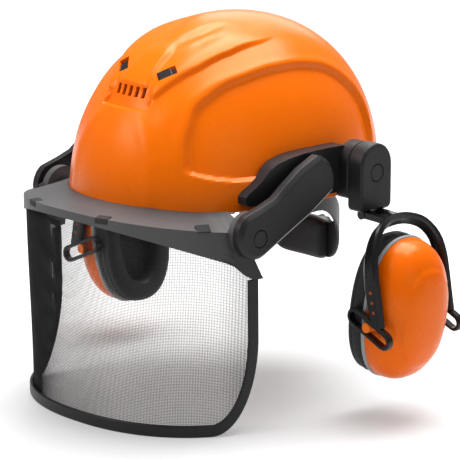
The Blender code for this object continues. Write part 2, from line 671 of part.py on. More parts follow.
def make_visor_mesh(joint):
    """The curved net, a thin sheet from behind the lip down to the rim, and the rim round it."""
    edge = corner_turn(MESH_SIDE_Y)
    turns = np.linspace(-edge, edge, 37)
    lip_y, rim_y = frame_edge(turns)[1], mesh_edge(turns, 4.0)[1]
    tuck = 3.0 - 4.2 * smoothstep(np.abs(turns), 0.2, 0.7)
    top = np.minimum(frame_bottom(lip_y), frame_bottom(rim_y)) + tuck
    low = visor_low(turns, MESH_SIDE_Y, MESH_BOTTOM, CORNER_ACROSS - 4, CORNER_UP - 6)
    depth = np.linspace(0, 1, 5)
    def face(grow):
        z = low[:, None] + (top - low)[:, None] * depth
        x, y = mesh_edge(turns[:, None], grow, z)
        return np.stack(np.broadcast_arrays(x, y, z), 2)
    add_solid("visor_mesh", slab(face(0.0), face(-MESH_WALL)), "mesh_black", joint)
    outer = rim_path(RIM_SIDE_Y, RIM_BOTTOM, CORNER_ACROSS, CORNER_UP)
    inner = rim_path(RIM_SIDE_Y - RIM_BAND, RIM_BOTTOM + RIM_BAND, CORNER_ACROSS - 9, CORNER_UP - RIM_BAND)
    rings = []
    for (turn_a, z_a), (turn_b, z_b) in zip(outer, inner):
        ring = []
        for turn, z, grow in ((turn_a, z_a, 0.4), (turn_a, z_a, 0.4 + RIM_WALL), (turn_b, z_b, 0.4 + RIM_WALL),
                              (turn_b, z_b, 0.4)):
            x, y = mesh_edge(turn, grow, z)
            ring.append((float(x), float(y), z))
        rings.append(ring)
    add_solid("visor_rim", loft(rings), "charcoal", joint)


def rim_path(y_side, bottom, across, up):
    """Edge of the visor as (plan angle, height): down one side, round a corner, along the bottom, up."""
    edge = float(corner_turn(y_side))
    half = [(edge, z) for z in np.linspace(RIM_TOP, bottom + up, 4)[:-1]]
    for swing in np.radians(np.linspace(0, 90, 9)):
        half.append((edge - across * (1 - cos(swing)) / MESH_HALF_WIDTH, bottom + up * (1 - sin(swing))))
    start = half[-1][0]
    along = [(turn, bottom) for turn in np.linspace(start, -start, 26)[1:-1]]
    return half + along + [(-turn, z) for turn, z in half[::-1]]


# ---------------------------------------------------------------- ear muffs
def make_housing(name, side, joint):
    """Arched block that turns on the carrier; the yoke's barrel sits in its open bottom."""
    housing = add_solid("muff_housing_" + name,
                        prism(housing_outline(HOUSING_RADIUS, MUFF_Y, HOUSING_BOTTOM), HOUSING_INNER,
                              HOUSING_OUTER, bevel=1.8, bevel_low=0.8), "charcoal", joint, side)
    pocket = [(MUFF_Y - 12.5, -30), (MUFF_Y + 12.5, -30), (MUFF_Y + 12.5, -3), (MUFF_Y - 12.5, -3)]
    cut(housing, prism(pocket, HOUSING_INNER + 2.5, HOUSING_OUTER - 2.5), joint, side)
    cut(housing, turned([(HOUSING_INNER - 5, PIN_RADIUS + GAP), (HOUSING_OUTER + 5, PIN_RADIUS + GAP)],
                        (MUFF_Y, HOUSING_PIN_Z)), joint, side)
    pin = [(HOUSING_INNER - 8.5, PIN_RADIUS - 1.7), (HOUSING_INNER + 1, PIN_RADIUS - 1.7),
           (HOUSING_INNER + 1, PIN_RADIUS), (HOUSING_OUTER - 0.6, PIN_RADIUS),
           (HOUSING_OUTER, PIN_RADIUS - 0.6)]
    add_solid("muff_pin_" + name, turned(pin, (MUFF_Y, HOUSING_PIN_Z)), "charcoal", joint, side)


YOKE_PATH = [(167.0, 0.0, -12.0), (168.0, 14.0, -13.5), (171.5, 27.0, -19.0), (175.5, 37.0, -31.0),
             (178.5, 41.0, -46.0), (181.0, 41.5, -62.0), (185.0, 41.5, -80.0), (188.0, 41.5, -93.0)]


def smooth_line(points, per_span=3):
    """A Catmull-Rom curve through the points, its end tangents mirrored."""
    points = np.array(points, float)
    ends = np.vstack([2 * points[0] - points[1], points, 2 * points[-1] - points[-2]])
    line = []
    for i in range(len(points) - 1):
        a, b, c, d = ends[i:i + 4]
        for t in np.arange(per_span) / per_span:
            line.append(0.5 * (2 * b + (c - a) * t + (2 * a - 5 * b + 4 * c - d) * t * t
                               + (3 * b - a - 3 * c + d) * t ** 3))
    return np.array(line + [points[-1]])


def make_yoke(name, side, joint):
    """Barrel and two prongs, the arch over the cup, and a slotted link at the foot of each leg."""
    half = [(x, MUFF_Y + spread, z) for x, spread, z in YOKE_PATH]
    half = smooth_line([(half[1][0], 2 * MUFF_Y - half[1][1], half[1][2])] + half)[3:]
    line = np.vstack([half[::-1] * (1, -1, 1) + (0, 2 * MUFF_Y, 0), half[1:]])
    tangent = np.gradient(line, axis=0)
    tangent /= np.linalg.norm(tangent, axis=1)[:, None]
    slope = np.interp(line[:, 2], [-93, -46, -31, -12], [13, 13, 24, 50])
    wide = np.stack([np.cos(np.radians(slope)), np.zeros(len(line)), np.sin(np.radians(slope))], 1)
    thin = np.cross(tangent, wide)
    thin /= np.linalg.norm(thin, axis=1)[:, None]
    width = np.interp(line[:, 2], [-93, -62, -12], [6.0, 7.3, 5.5])[:, None]
    corners = ((1, 0.55), (0.7, 1), (-0.7, 1), (-1, 0.55), (-1, -0.55), (-0.7, -1), (0.7, -1), (1, -0.55))
    rings = np.stack([line + wide * width * a + thin * 3.2 * b for a, b in corners], 1)
    yoke = add_solid("yoke_" + name, loft(rings), "charcoal", joint, side)
    for end in (-1, 1):
        middle = MUFF_Y + end * YOKE_HALF_SPREAD
        across = np.array([cos(SLOT_SLOPE), sin(SLOT_SLOPE)]) * SLOT_LENGTH / 2
        centre = np.array(CUP_PIN) + np.array([cos(SLOT_SLOPE), sin(SLOT_SLOPE)]) * 2.0
        near, far = sorted((middle - end * 2.5, middle + end * 3.8))
        join(yoke, prism(capsule(centre - across, centre + across, SLOT_RADIUS), near, far, axis="y",
                         bevel=0.9, bevel_low=0.9), joint, side)
        cut(yoke, prism(capsule(centre - across, centre + across, CUP_PIN_RADIUS + GAP), middle - 12,
                        middle + 12, axis="y"), joint, side)
        thick = np.array([0.0, 2.6])
        start, stop = np.array([SWING_X, SWING_Z]), np.array([YOKE_PATH[0][0], YOKE_PATH[0][2] - 1.0])
        outline = np.array([start + thick, start - thick, stop - thick, stop + thick])
        prong = MUFF_Y + end * PRONG_SPREAD
        join(yoke, prism(outline, prong - PRONG_HALF_WIDTH, prong + PRONG_HALF_WIDTH, axis="y"), joint, side)
    join(yoke, turned([(MUFF_Y - 11.8, 4.0), (MUFF_Y + 11.8, 4.0)], (SWING_X, SWING_Z), axis="y", count=16),
         joint, side)


def capsule(a, b, radius, count=7):
    """Outline of a slot between two centres, counter-clockwise."""
    heading = np.degrees(np.arctan2(b[1] - a[1], b[0] - a[0]))
    return np.vstack([arc(b, radius, heading - 90, heading + 90, count),
                      arc(a, radius, heading + 90, heading + 270, count)])


def cup_ring(depth, half_width, half_height, count=36):
    """A rounded outline across the cup at a depth along its outward axis, measured from the pins."""
    turns = np.linspace(0, 2 * pi, count + 1)[:-1]
    across = half_width * signed_power(np.cos(turns), 2 / CUP_POWER)
    along = half_height * signed_power(np.sin(turns), 2 / CUP_POWER)
    out = np.array([cos(CUP_LEAN), 0, -sin(CUP_LEAN)])
    up = np.array([sin(CUP_LEAN), 0, cos(CUP_LEAN)])
    centre = np.array([CUP_PIN[0], MUFF_Y, CUP_PIN[1]]) + up * CUP_RISE
    return centre + out * depth + along[:, None] * up + across[:, None] * np.array([0, 1, 0])


def make_cup(name, side, joint):
    """Hollow cup, trim ring, ring cushion, foam liner and the two pins that carry the cup."""
    heights = np.array([0, 0.35, 0.62, 0.82, 0.94, 1.0])
    def dome(grow, top):
        shrink = (1 - (heights * 0.985) ** 2.5) ** (1 / 2.5)
        return [cup_ring(DOME_BASE + h * (DOME_HEIGHT + top), (CUP_HALF_WIDTH + grow) * s,
                         (CUP_HALF_HEIGHT + grow) * s) for h, s in zip(heights, shrink)]
    cup = add_solid("ear_cup_" + name, loft(dome(-CUP_WALL, -CUP_WALL)[::-1] + dome(0, 0)),
                    "cup_orange", joint, side)
    bottom = DOME_BASE - GAP - TRIM_THICKNESS
    rings = [cup_ring(bottom, 30, 53), cup_ring(bottom, 38.6, 61.6), cup_ring(DOME_BASE - GAP, 38.6, 61.6),
             cup_ring(DOME_BASE - GAP, 30, 53)]
    add_solid("cup_trim_" + name, loft(rings, closed=True), "trim_grey", joint, side)
    top = bottom - GAP
    profile = ((0, 22, 43), (0, 37, 60), (-5, 38.5, 61.5), (-12, 37.5, 60.5), (-CUSHION_THICKNESS, 32, 55),
               (-CUSHION_THICKNESS, 26, 48), (-12, 21, 41.5))
    rings = [cup_ring(top + depth, w, h) for depth, w, h in profile]
    add_solid("ear_cushion_" + name, loft(rings, closed=True), "cushion_black", joint, side)
    rings = [cup_ring(DOME_BASE - 3, 28.5, 51), cup_ring(DOME_BASE + 14, 28.5, 50),
             cup_ring(DOME_BASE + 26, 21, 40)]
    add_solid("ear_foam_" + name, loft(rings), "foam_grey", joint, side)
    for end, place in ((-1, "front"), (1, "rear")):
        near, far = MUFF_Y + end * (CUP_HALF_WIDTH - 7), MUFF_Y + end * (YOKE_HALF_SPREAD + 4.4)
        cut(cup, turned([(MUFF_Y + end * 30, CUP_PIN_RADIUS + GAP), (far, CUP_PIN_RADIUS + GAP)], CUP_PIN,
                        axis="y", count=16), joint, side)
        add_solid("cup_pin_" + place + "_" + name,
                  turned([(near, CUP_PIN_RADIUS), (far, CUP_PIN_RADIUS)], CUP_PIN, axis="y", count=16),
                  "cup_orange", joint, side)


def build():
    clear_scene()
    make_shell()
    make_shutters()
    make_headband()
    make_straps()
    nape = add_empty("nape_axis", (0, NAPE_DEPTH, KNOB_Z))
    make_nape(nape)
    make_knob(add_empty("knob_axis", (0, KNOB_Y, KNOB_Z), nape))
    lift = add_empty("visor_lift_axis", (0, *ARM_REAR))
    tilt = add_empty("visor_tilt_axis", (0, *ARM_FRONT), lift)
    for side, name in ((1, "left"), (-1, "right")):
        make_carrier(name, side)
        make_arm(name, side, lift)
        park = add_empty("muff_park_axis_" + name, (side * HOUSING_OUTER, MUFF_Y, HOUSING_PIN_Z))
        make_housing(name, side, park)
        swing = add_empty("muff_swing_axis_" + name, (side * SWING_X, MUFF_Y, SWING_Z), park)
        make_yoke(name, side, swing)
        cup = add_empty("cup_axis_" + name, (side * CUP_PIN[0], MUFF_Y, CUP_PIN[1]), swing)
        make_cup(name, side, cup)
    make_visor_frame(tilt)
    make_visor_mesh(tilt)


build()
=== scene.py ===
"""Forestry helmet: the finished look of every piece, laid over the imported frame."""
import json
from math import cos, pi, radians, sin

import bmesh
import bpy
import numpy as np
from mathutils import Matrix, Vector


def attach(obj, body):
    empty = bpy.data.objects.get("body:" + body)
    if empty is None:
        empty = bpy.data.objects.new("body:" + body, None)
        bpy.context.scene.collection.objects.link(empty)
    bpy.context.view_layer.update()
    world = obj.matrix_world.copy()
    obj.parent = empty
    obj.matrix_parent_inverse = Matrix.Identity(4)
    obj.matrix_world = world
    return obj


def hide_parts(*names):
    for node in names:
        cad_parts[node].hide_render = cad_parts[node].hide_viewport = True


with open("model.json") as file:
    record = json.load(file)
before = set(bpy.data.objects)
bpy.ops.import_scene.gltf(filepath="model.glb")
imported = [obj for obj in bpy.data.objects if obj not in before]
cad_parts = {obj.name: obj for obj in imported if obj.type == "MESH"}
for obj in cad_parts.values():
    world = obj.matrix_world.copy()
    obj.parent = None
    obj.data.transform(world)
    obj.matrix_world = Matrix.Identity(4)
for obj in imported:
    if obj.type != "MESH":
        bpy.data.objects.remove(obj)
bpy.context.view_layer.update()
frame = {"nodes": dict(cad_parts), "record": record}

MM = 0.001
SIDES = ((1, "left"), (-1, "right"))

GAP = 0.35

# Shell, in millimetres.
SHELL_HALF_WIDTH, SHELL_FRONT, SHELL_REAR, SHELL_HEIGHT = 112.0, 141.0, 140.0, 142.0
SHELL_PLAN_POWER, SHELL_SIDE_POWER = 2.15, 2.11
CROWN_SHIFT = 6.0
SHELL_WALL = 2.6
RECESS_DEPTH = 4.5
SLOT_WIDTH, SLOT_HEIGHT, SLOT_Z = 3.8, 8.6, 90.0
WINDOW_LENGTH, WINDOW_HEIGHT = 17.0, 9.6
WINDOW_MIDDLE, WINDOW_ALONG = np.array([26.0, -89.5, 105.0]), np.array([0.62, 0.68, 0.38])

# Visor.
VISOR_HALF_WIDTH, VISOR_DEPTH, VISOR_CENTRE_Y, VISOR_POWER = 117.5, 114.0, -70.0, 2.1
MESH_HALF_WIDTH, MESH_DEPTH, MESH_CENTRE_Y, MESH_POWER = 122.0, 116.0, -60.0, 2.26
MESH_TAPER = 7.0
MESH_BOTTOM, RIM_BOTTOM, RIM_BAND, RIM_TOP = -172.0, -178.5, 10.0, -50.5
MESH_SIDE_Y, RIM_SIDE_Y, RIM_WALL = -84.0, -80.0, 3.0
CORNER_ACROSS, CORNER_UP = 46.0, 80.0
LIP_TOP, LIP_BOTTOM = 3.4, -3.5
WIRE_PITCH, WIRE_RADIUS, WIRE_SET_IN = 1.3, 0.14, 0.30

# Ear muffs.
MUFF_Y = 34.5
CUP_PIN_X, CUP_PIN_Z, CUP_RISE = 177.5, -94.0, 7.0
CUP_LEAN = radians(8.0)
CUP_HALF_WIDTH, CUP_HALF_HEIGHT, CUP_POWER = 37.5, 60.5, 2.35
CUP_WALL, DOME_BASE, DOME_HEIGHT = 3.0, -8.0, 38.0
TRIM_THICKNESS, CUSHION_THICKNESS = 4.0, 18.0
TRIM_MIDDLE_WIDTH, TRIM_MIDDLE_HEIGHT, TRIM_REACH = 34.3, 57.3, 4.3
CUSHION_MIDDLE_WIDTH, CUSHION_MIDDLE_HEIGHT = 29.3, 51.5
CUSHION_REACH_WIDTH, CUSHION_REACH_HEIGHT, SEAM_PULL = 8.8, 9.3, 1.0
FOAM_HALF_WIDTH, FOAM_HALF_HEIGHT, FOAM_DEPTH = 29.0, 51.5, 29
CUSHION_TOP = DOME_BASE - TRIM_THICKNESS - 2 * GAP
YOKE_HALF_SPREAD = 41.5

# Harness.
NAPE_HALF_WIDTH, NAPE_DEPTH, NAPE_POWER = 84.0, 98.0, 2.3
NAPE_LOW, NAPE_RISE = -66.0, 56.0
STRAP_HALF_WIDTH, STRAP_FOOT_Z, STRAP_CROWN_Z = 9.0, 22.6, 104.0
STRAP_SPREAD_X, STRAP_SPREAD_Y = 92, 112
HEAD_HALF_WIDTH, HEAD_HALF_LENGTH = 80.0, 100.0


# ---------------------------------------------------------------- shader maths
class Value:
    """A socket whose operators add Math nodes."""

    def __init__(self, finish, socket):
        self.finish, self.socket = finish, socket

    def math(self, operation, *others):
        return self.finish.node("ShaderNodeMath", {"operation": operation}, self, *others)

    def __add__(self, other): return self.math("ADD", other)
    def __radd__(self, other): return self.math("ADD", other)
    def __sub__(self, other): return self.math("SUBTRACT", other)
    def __rsub__(self, other): return self.finish.node("ShaderNodeMath", {"operation": "SUBTRACT"}, other, self)
    def __mul__(self, other): return self.math("MULTIPLY", other)
    def __rmul__(self, other): return self.math("MULTIPLY", other)
    def __truediv__(self, other): return self.math("DIVIDE", other)
    def __rtruediv__(self, other): return self.finish.node("ShaderNodeMath", {"operation": "DIVIDE"}, other, self)


class Finish:
    """A material: node() adds any node, and maths is written on the Values it returns."""

    def __init__(self, name, **shader):
        self.material = bpy.data.materials.new(name)
        self.material.use_nodes = True
        self.tree = self.material.node_tree
        self.shader = self.tree.nodes["Principled BSDF"]
        for socket, value in shader.items():
            self.shader.inputs[socket.replace("_", " ")].default_value = value

    def node(self, kind, settings=None, *inputs, out=0, **named):
        made = self.tree.nodes.new(kind)
        for key, value in (settings or {}).items():
            setattr(made, key, value)
        pairs = list(enumerate(inputs)) + [(key.replace("_", " "), value) for key, value in named.items()]
        for key, value in pairs:
            if isinstance(value, Value):
                self.tree.links.new(value.socket, made.inputs[key])
            elif value is not None:
                made.inputs[key].default_value = value
        return Value(self, made.outputs[out])

    def into(self, socket, value):
        self.tree.links.new(value.socket, self.shader.inputs[socket])

    def place(self):
        return self.node("ShaderNodeTexCoord", out=3)

    def noise(self, scale, detail=3.0, where=None):
        return self.node("ShaderNodeTexNoise", None, Vector=where or self.place(), Scale=scale, Detail=detail)

    def step(self, value, low, high, to_low=0.0, to_high=1.0):
        return self.node("ShaderNodeMapRange", {"interpolation_type": "SMOOTHSTEP"}, value, low, high, to_low,
                         to_high)

    def blend(self, amount, first, second):
        """Colour between two colours."""
        made = self.tree.nodes.new("ShaderNodeMix")
        made.data_type = "RGBA"
        for index, value in ((0, amount), (6, first), (7, second)):
            if isinstance(value, Value):
                self.tree.links.new(value.socket, made.inputs[index])
            else:
                made.inputs[index].default_value = value if index == 0 else (*value, 1)
        return Value(self, made.outputs[2])

    def bump(self, height, distance, strength=1.0):
        self.into("Normal", self.node("ShaderNodeBump", None, Height=height, Distance=distance,
                                      Strength=strength))
        return self


def moulded(name, colour, rough, grain=0.00006, grain_scale=2600.0, coat=0.0, drift=0.12, scuffs=0.06, gloss=0.28,
            glint=(1, 1, 1, 1)):
    """Injection-moulded plastic: a fine grain, a slow drift of shade, and faint rubbed scuffs."""
    made = Finish(name, Coat_Weight=coat, Coat_Roughness=0.16, Specular_IOR_Level=gloss, Specular_Tint=glint)
    slow = made.noise(14.0, 2.0)
    patch = made.noise(55.0, 4.0)
    fine = made.noise(grain_scale, 2.0)
    shade = made.step(slow, 0.3, 0.7)
    dark = tuple(c * (1 - drift) for c in colour)
    light = tuple(min(c * (1 + drift), 1.0) for c in colour)
    tone = made.blend(shade, dark, light)
    streak_place = made.node("ShaderNodeMapping", None, made.place(), Scale=(90.0, 340.0, 150.0))
    streak = made.step(made.noise(1.0, 5.0, streak_place), 0.63, 0.75)
    rubbed = tuple(min(c * 1.12 + 0.006, 1.0) for c in colour)
    made.into("Base Color", made.blend(streak * 0.25, tone, rubbed))
    made.into("Roughness", rough + (patch - 0.5) * 0.12 + streak * scuffs)
    return made.bump(fine + made.noise(420.0, 2.0) * 0.8, grain, 0.6)


def net_wire(name):
    """Black coated wire: nearly even, with a faint change of shade from place to place."""
    made = Finish(name, Specular_IOR_Level=0.12)
    made.into("Base Color", made.blend(made.noise(60.0, 2.0), (0.018, 0.018, 0.018), (0.035, 0.035, 0.036)))
    made.into("Roughness", 0.6 + made.noise(300.0) * 0.16)
    return made.bump(made.noise(2400.0), 0.00003, 0.5)


def webbing(name, colour):
    """Herringbone webbing on the piece's own map in mm, with painted shade in the weave's low parts and a soft
    sheen.
    """
    made = Finish(name, Roughness=0.8, Sheen_Weight=0.3)
    spot = made.node("ShaderNodeSeparateXYZ", None, made.node("ShaderNodeUVMap", {"uv_map": "weave"}))
    across, along = spot, Value(made, spot.socket.node.outputs[1])
    fold = ((across / 6.0).math("FRACT") - 0.5).math("ABSOLUTE") * 6.0
    rib = (((along + fold) / 1.3).math("FRACT") - 0.5).math("ABSOLUTE") * 2.0
    warp = ((across / 0.9).math("FRACT") - 0.5).math("ABSOLUTE") * 2.0
    height = rib * 0.7 + warp * 0.3
    # painted shade and light: the weave is darker where its relief is low and lighter where it is high; the noise
    # blend below is a random tone
    tone = made.blend(height, tuple(c * 0.55 for c in colour), tuple(c * 1.25 for c in colour))
    made.into("Base Color", made.blend(made.noise(220.0, 4.0) * 0.5, tone, colour))
    made.into("Roughness", 0.72 + height * 0.16)
    return made.bump(height, 0.0004, 0.9)


def skin_cover(name, colour, rough=0.5):
    """Soft leatherette over foam: pores, fine creases and a slow change of gloss."""
    made = Finish(name, Specular_IOR_Level=0.4)
    pores = made.node("ShaderNodeTexVoronoi", {"feature": "DISTANCE_TO_EDGE"}, Vector=made.place(), Scale=620.0)
    crease_place = made.node("ShaderNodeMapping", None, made.place(), Scale=(60.0, 60.0, 160.0))
    crease = made.noise(1.0, 4.0, crease_place)
    tone = made.blend(made.noise(40.0, 3.0), tuple(c * 0.7 for c in colour), tuple(c * 1.35 for c in colour))
    made.into("Base Color", tone)
    made.into("Roughness", rough + made.noise(30.0) * 0.2 - 0.1 + crease * 0.08)
    return made.bump(made.step(pores, 0.0, 0.12) * 0.5 + crease * 1.4, 0.0005, 0.7)


def open_foam(name, colour):
    """Open-cell foam: round cells of two sizes, with painted shade in their pits."""
    made = Finish(name, Specular_IOR_Level=0.2)
    large = made.node("ShaderNodeTexVoronoi", None, Vector=made.place(), Scale=380.0)
    small = made.node("ShaderNodeTexVoronoi", None, Vector=made.place(), Scale=900.0)
    cells = large * 0.65 + small * 0.35
    # painted shade: each cell is darker in its pit and lighter at its raised rim, following the bump below
    made.into("Base Color", made.blend(cells, tuple(c * 0.35 for c in colour), tuple(c * 1.4 for c in colour)))
    made.into("Roughness", 0.85 + cells * 0.1)
    return made.bump(cells, 0.0012, 0.9)


def speckled_knit_painted_shade(name, colour):
    """Brushed knit on a sweatband: short loops in rows with a soft pile, painted shade where they are low and a
    random speckle.
    """
    made = Finish(name, Roughness=0.9, Sheen_Weight=0.4)
    rows = made.node("ShaderNodeTexWave", {"wave_type": "BANDS", "bands_direction": "Z"}, Vector=made.place(),
                     Scale=140.0, Distortion=3.0, Detail=2.0, Detail_Scale=3.0)
    pile = made.noise(900.0, 3.0)
    height = rows * 0.5 + pile * 0.6
    # painted shade and light: darker where rows and pile are low, lighter where high; the pile noise also gives a
    # random speckle
    made.into("Base Color", made.blend(height, tuple(c * 0.5 for c in colour), tuple(c * 1.5 for c in colour)))
    made.into("Roughness", 0.85 + pile * 0.1)
    return made.bump(height, 0.0006, 0.8)


ORANGE = (0.83, 0.142, 0.0003)
WARM = (1.0, 0.80, 0.40, 1.0)
finishes = {
    "shell_orange": moulded("orange_shell_plastic", ORANGE, 0.28, 0.00003, 2200.0, 0.02, 0.03, 0.05, 0.26, WARM),
    "cup_orange": moulded("orange_cup_plastic", (0.81, 0.126, 0.0003), 0.28, 0.00003, 2400.0, 0.03,
                           0.03, 0.05, 0.26, WARM),
    "pin_orange": moulded("orange_pin_plastic", (0.84, 0.165, 0.002), 0.42, 0.00005, 2600.0),
    "charcoal": moulded("charcoal_moulded_plastic", (0.010, 0.010, 0.011), 0.40, 0.00010, 1900.0),
    # painted light: a lighter grey copy of the charcoal for the visor frame, standing in for the light on its
    # upward shelf
    "frame_painted_light": moulded("frame_plastic_painted_light", (0.055, 0.055, 0.057), 0.50, 0.00010, 1900.0, gloss=0.4),
    # painted shade: a dark red copy of the pin orange for the detent studs, for the shade of their sockets
    "detent_painted_shade": moulded("detent_plastic_painted_shade", (0.36, 0.045, 0.002), 0.42, 0.00005, 2600.0),
    "trim_grey": moulded("grey_trim_plastic", (0.34, 0.34, 0.35), 0.5, 0.00008, 2200.0),
    "gloss_black": moulded("gloss_black_plastic", (0.005, 0.005, 0.0055), 0.28, 0.00003, 2200.0, 0.15),
    "mesh_black": net_wire("black_net_wire"),
    "strap_grey": webbing("grey_harness_webbing", (0.09, 0.09, 0.095)),
    "pad_black": skin_cover("black_cushion_cover", (0.012, 0.012, 0.013)),
    "foam_dark": open_foam("dark_cup_foam", (0.05, 0.05, 0.055)),
    "sweat": speckled_knit_painted_shade("sweatband_knit", (0.03, 0.03, 0.033)),
}


# ---------------------------------------------------------------- making pieces
def smoothstep(value, low, high):
    """From 0 at low to 1 at high, level at both ends."""
    t = np.clip((np.asarray(value, float) - low) / (high - low), 0, 1)
    return t * t * (3 - 2 * t)


def signed_power(value, power):
    """A power of the size of a value, with its sign kept: a sine or cosine so raised draws a superellipse."""
    return np.sign(value) * np.abs(value) ** power


def grid_faces(rows, columns, wrap_rows, wrap_columns):
    """Quads over a grid of points, joined round in either direction."""
    i = np.arange(rows if wrap_rows else rows - 1)[:, None]
    j = np.arange(columns if wrap_columns else columns - 1)[None]
    i2, j2 = (i + 1) % rows, (j + 1) % columns
    corners = (i * columns + j, i * columns + j2, i2 * columns + j2, i2 * columns + j)
    return np.stack(np.broadcast_arrays(*corners), -1).reshape(-1, 4)


def piece(name, points, faces, body, slot, finish=None, replaces=(), smooth=40.0, uv=None):
    """A mesh object from points in mm and faces, riding on its body, shaded smooth below an angle."""
    mesh = bpy.data.meshes.new(name)
    mesh.from_pydata((np.asarray(points) * MM).tolist(), [], [list(map(int, f)) for f in faces])
    mesh.update()
    if uv is not None:
        layer = mesh.uv_layers.new(name="weave")
        index = np.empty(len(mesh.loops), np.int32)
        mesh.loops.foreach_get("vertex_index", index)
        layer.data.foreach_set("uv", np.asarray(uv, np.float32)[index].ravel())
    made = bpy.data.objects.new(name, mesh)
    bpy.context.scene.collection.objects.link(made)
    mesh.materials.append(finishes[finish or slot].material)
    shade(made, smooth)
    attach(made, body)
    if replaces:
        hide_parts(*([replaces] if isinstance(replaces, str) else replaces))
    return made


def shade(item, degrees):
    """Smooth shading with creases sharper than an angle kept."""
    mesh = item.data
    mesh.shade_smooth()
    if degrees:
        mesh.set_sharp_from_angle(angle=radians(degrees))


def outward(item):
    """Faces turned to point outwards."""
    work = bmesh.new()
    work.from_mesh(item.data)
    bmesh.ops.remove_doubles(work, verts=work.verts, dist=1e-6)
    bmesh.ops.recalc_face_normals(work, faces=work.faces)
    work.to_mesh(item.data)
    work.free()


def ring_solid(name, rings, body, slot, closed=False, **more):
    """Skin over rings of points: either closed on itself, or with its two ends filled."""
    rings = np.asarray(rings, float)
    rows, columns = rings.shape[:2]
    faces = grid_faces(rows, columns, closed, True).tolist()
    if not closed:
        faces += [list(range(columns))[::-1], list(range((rows - 1) * columns, rows * columns))]
    made = piece(name, rings.reshape(-1, 3), faces, body, slot, **more)
    outward(made)
    shade(made, more.get("smooth", 40.0))
    return made


def sheet_solid(top, bottom):
    """Points and faces of a plate between two equal grids, closed round its edges."""
    rows, columns = top.shape[:2]
    count = rows * columns
    points = np.vstack([top.reshape(-1, 3), bottom.reshape(-1, 3)])
    faces = grid_faces(rows, columns, False, False).tolist()
    faces += (grid_faces(rows, columns, False, False)[:, ::-1] + count).tolist()
    edge = np.concatenate([np.arange(columns), np.arange(1, rows) * columns + columns - 1,
                           (rows - 1) * columns + np.arange(columns - 2, -1, -1),
                           np.arange(rows - 2, 0, -1) * columns])
    after = np.roll(edge, -1)
    faces += np.stack([edge, edge + count, after + count, after], 1).tolist()
    return points, faces


# ---------------------------------------------------------------- shell
def corners_cut(outline, share=0.18):
    """A closed outline with each corner replaced by two points, a share of the way along its sides."""
    after = np.roll(outline, -1, axis=0)
    return np.stack([outline * (1 - share) + after * share, outline * share + after * (1 - share)],
                    1).reshape(-1, 2)


RECESS_OUTLINE = corners_cut(corners_cut(np.array([
    (-112, 32), (-107, 56), (-92, 84), (-64, 101), (-25, 109), (8, 110), (39, 105), (59, 95),
    (78, 79), (88, 60), (90, 30), (85, 10), (-45, 10), (-54, 24), (-72, 23), (-94, 26)], float)))
SPINE = np.array([(20, -114), (28, -105), (36, -90.5), (45, -71), (51.5, -43.5), (54, -12), (52, 22)], float)
VALLEY_INNER = np.array([(7.6, -75), (10, -66.5), (17.5, -45), (24, -12)], float)
VALLEY_OUTER = np.array([(26, -66), (29, -50), (32, -30)], float)
VENT_OUTLINE = np.array([(-27, 77), (27, 77), (27, 88), (21, 96), (-21, 96), (-27, 88)], float)
NOSE_OUTLINE = np.array([(-15, 95), (15, 95), (12, 118), (6, 126), (-6, 126), (-12, 118)], float)
FACET = np.array([(20.5, 77), (36, 56), (43, 39), (46, 7)], float)


def polyline_distance(points, line):
    """Distance from plane points to a polyline, with the place along it and the side."""
    best = np.full(len(points), 1e9)
    along, side, start = np.zeros(len(points)), np.zeros(len(points)), 0.0
    for a, b in zip(line[:-1], line[1:]):
        edge = b - a
        length = np.linalg.norm(edge)
        t = np.clip(((points - a) @ edge) / length ** 2, 0, 1)
        away = points - a - t[:, None] * edge
        distance = np.linalg.norm(away, axis=1)
        nearer = distance < best
        best = np.where(nearer, distance, best)
        along = np.where(nearer, start + t * length, along)
        side = np.where(nearer, np.sign(edge[0] * (points[:, 1] - a[1]) - edge[1] * (points[:, 0] - a[0])), side)
        start += length
    return best, along / start, side


def distance_inside(points, outline):
    """Distance from plane points to a closed outline, positive inside it."""
    nearest = np.full(len(points), 1e9)
    inside = np.zeros(len(points), bool)
    for a, b in zip(outline, np.roll(outline, -1, axis=0)):
        edge = b - a
        t = np.clip(((points - a) @ edge) / (edge @ edge), 0, 1)
        nearest = np.minimum(nearest, np.linalg.norm(points - a - t[:, None] * edge, axis=1))
        crosses = (a[1] > points[:, 1]) != (b[1] > points[:, 1])
        rise = b[1] - a[1] if b[1] != a[1] else 1e-9
        inside ^= crosses & (points[:, 0] < a[0] + (points[:, 1] - a[1]) * edge[0] / rise)
    return np.where(inside, nearest, -nearest)


def shell_base(turn, rise, inward=0.0):
    """A superellipse in plan that closes to the crown along another superellipse."""
    lift = np.sin(rise * pi / 2) ** (2 / SHELL_SIDE_POWER)
    reach = np.cos(rise * pi / 2) ** (2 / SHELL_SIDE_POWER)
    length = np.where(np.sin(turn) < 0, SHELL_FRONT, SHELL_REAR) - inward
    x = (SHELL_HALF_WIDTH - inward) * signed_power(np.cos(turn), 2 / SHELL_PLAN_POWER) * reach
    y = length * signed_power(np.sin(turn), 2 / SHELL_PLAN_POWER) * reach + CROWN_SHIFT * lift
    return np.stack(np.broadcast_arrays(x, y, (SHELL_HEIGHT - inward) * lift), -1)


def shell_slope(points):
    """Unit normals of the plain shell, from the gradient of its superellipsoid."""
    flat = points - np.stack([np.zeros(len(points)), CROWN_SHIFT * points[:, 2] / SHELL_HEIGHT,
                              np.zeros(len(points))], 1)
    size = np.array([SHELL_HALF_WIDTH, SHELL_FRONT, SHELL_HEIGHT])
    slope = signed_power(flat / size, SHELL_PLAN_POWER - 1) / size
    return slope / np.linalg.norm(slope, axis=1)[:, None]


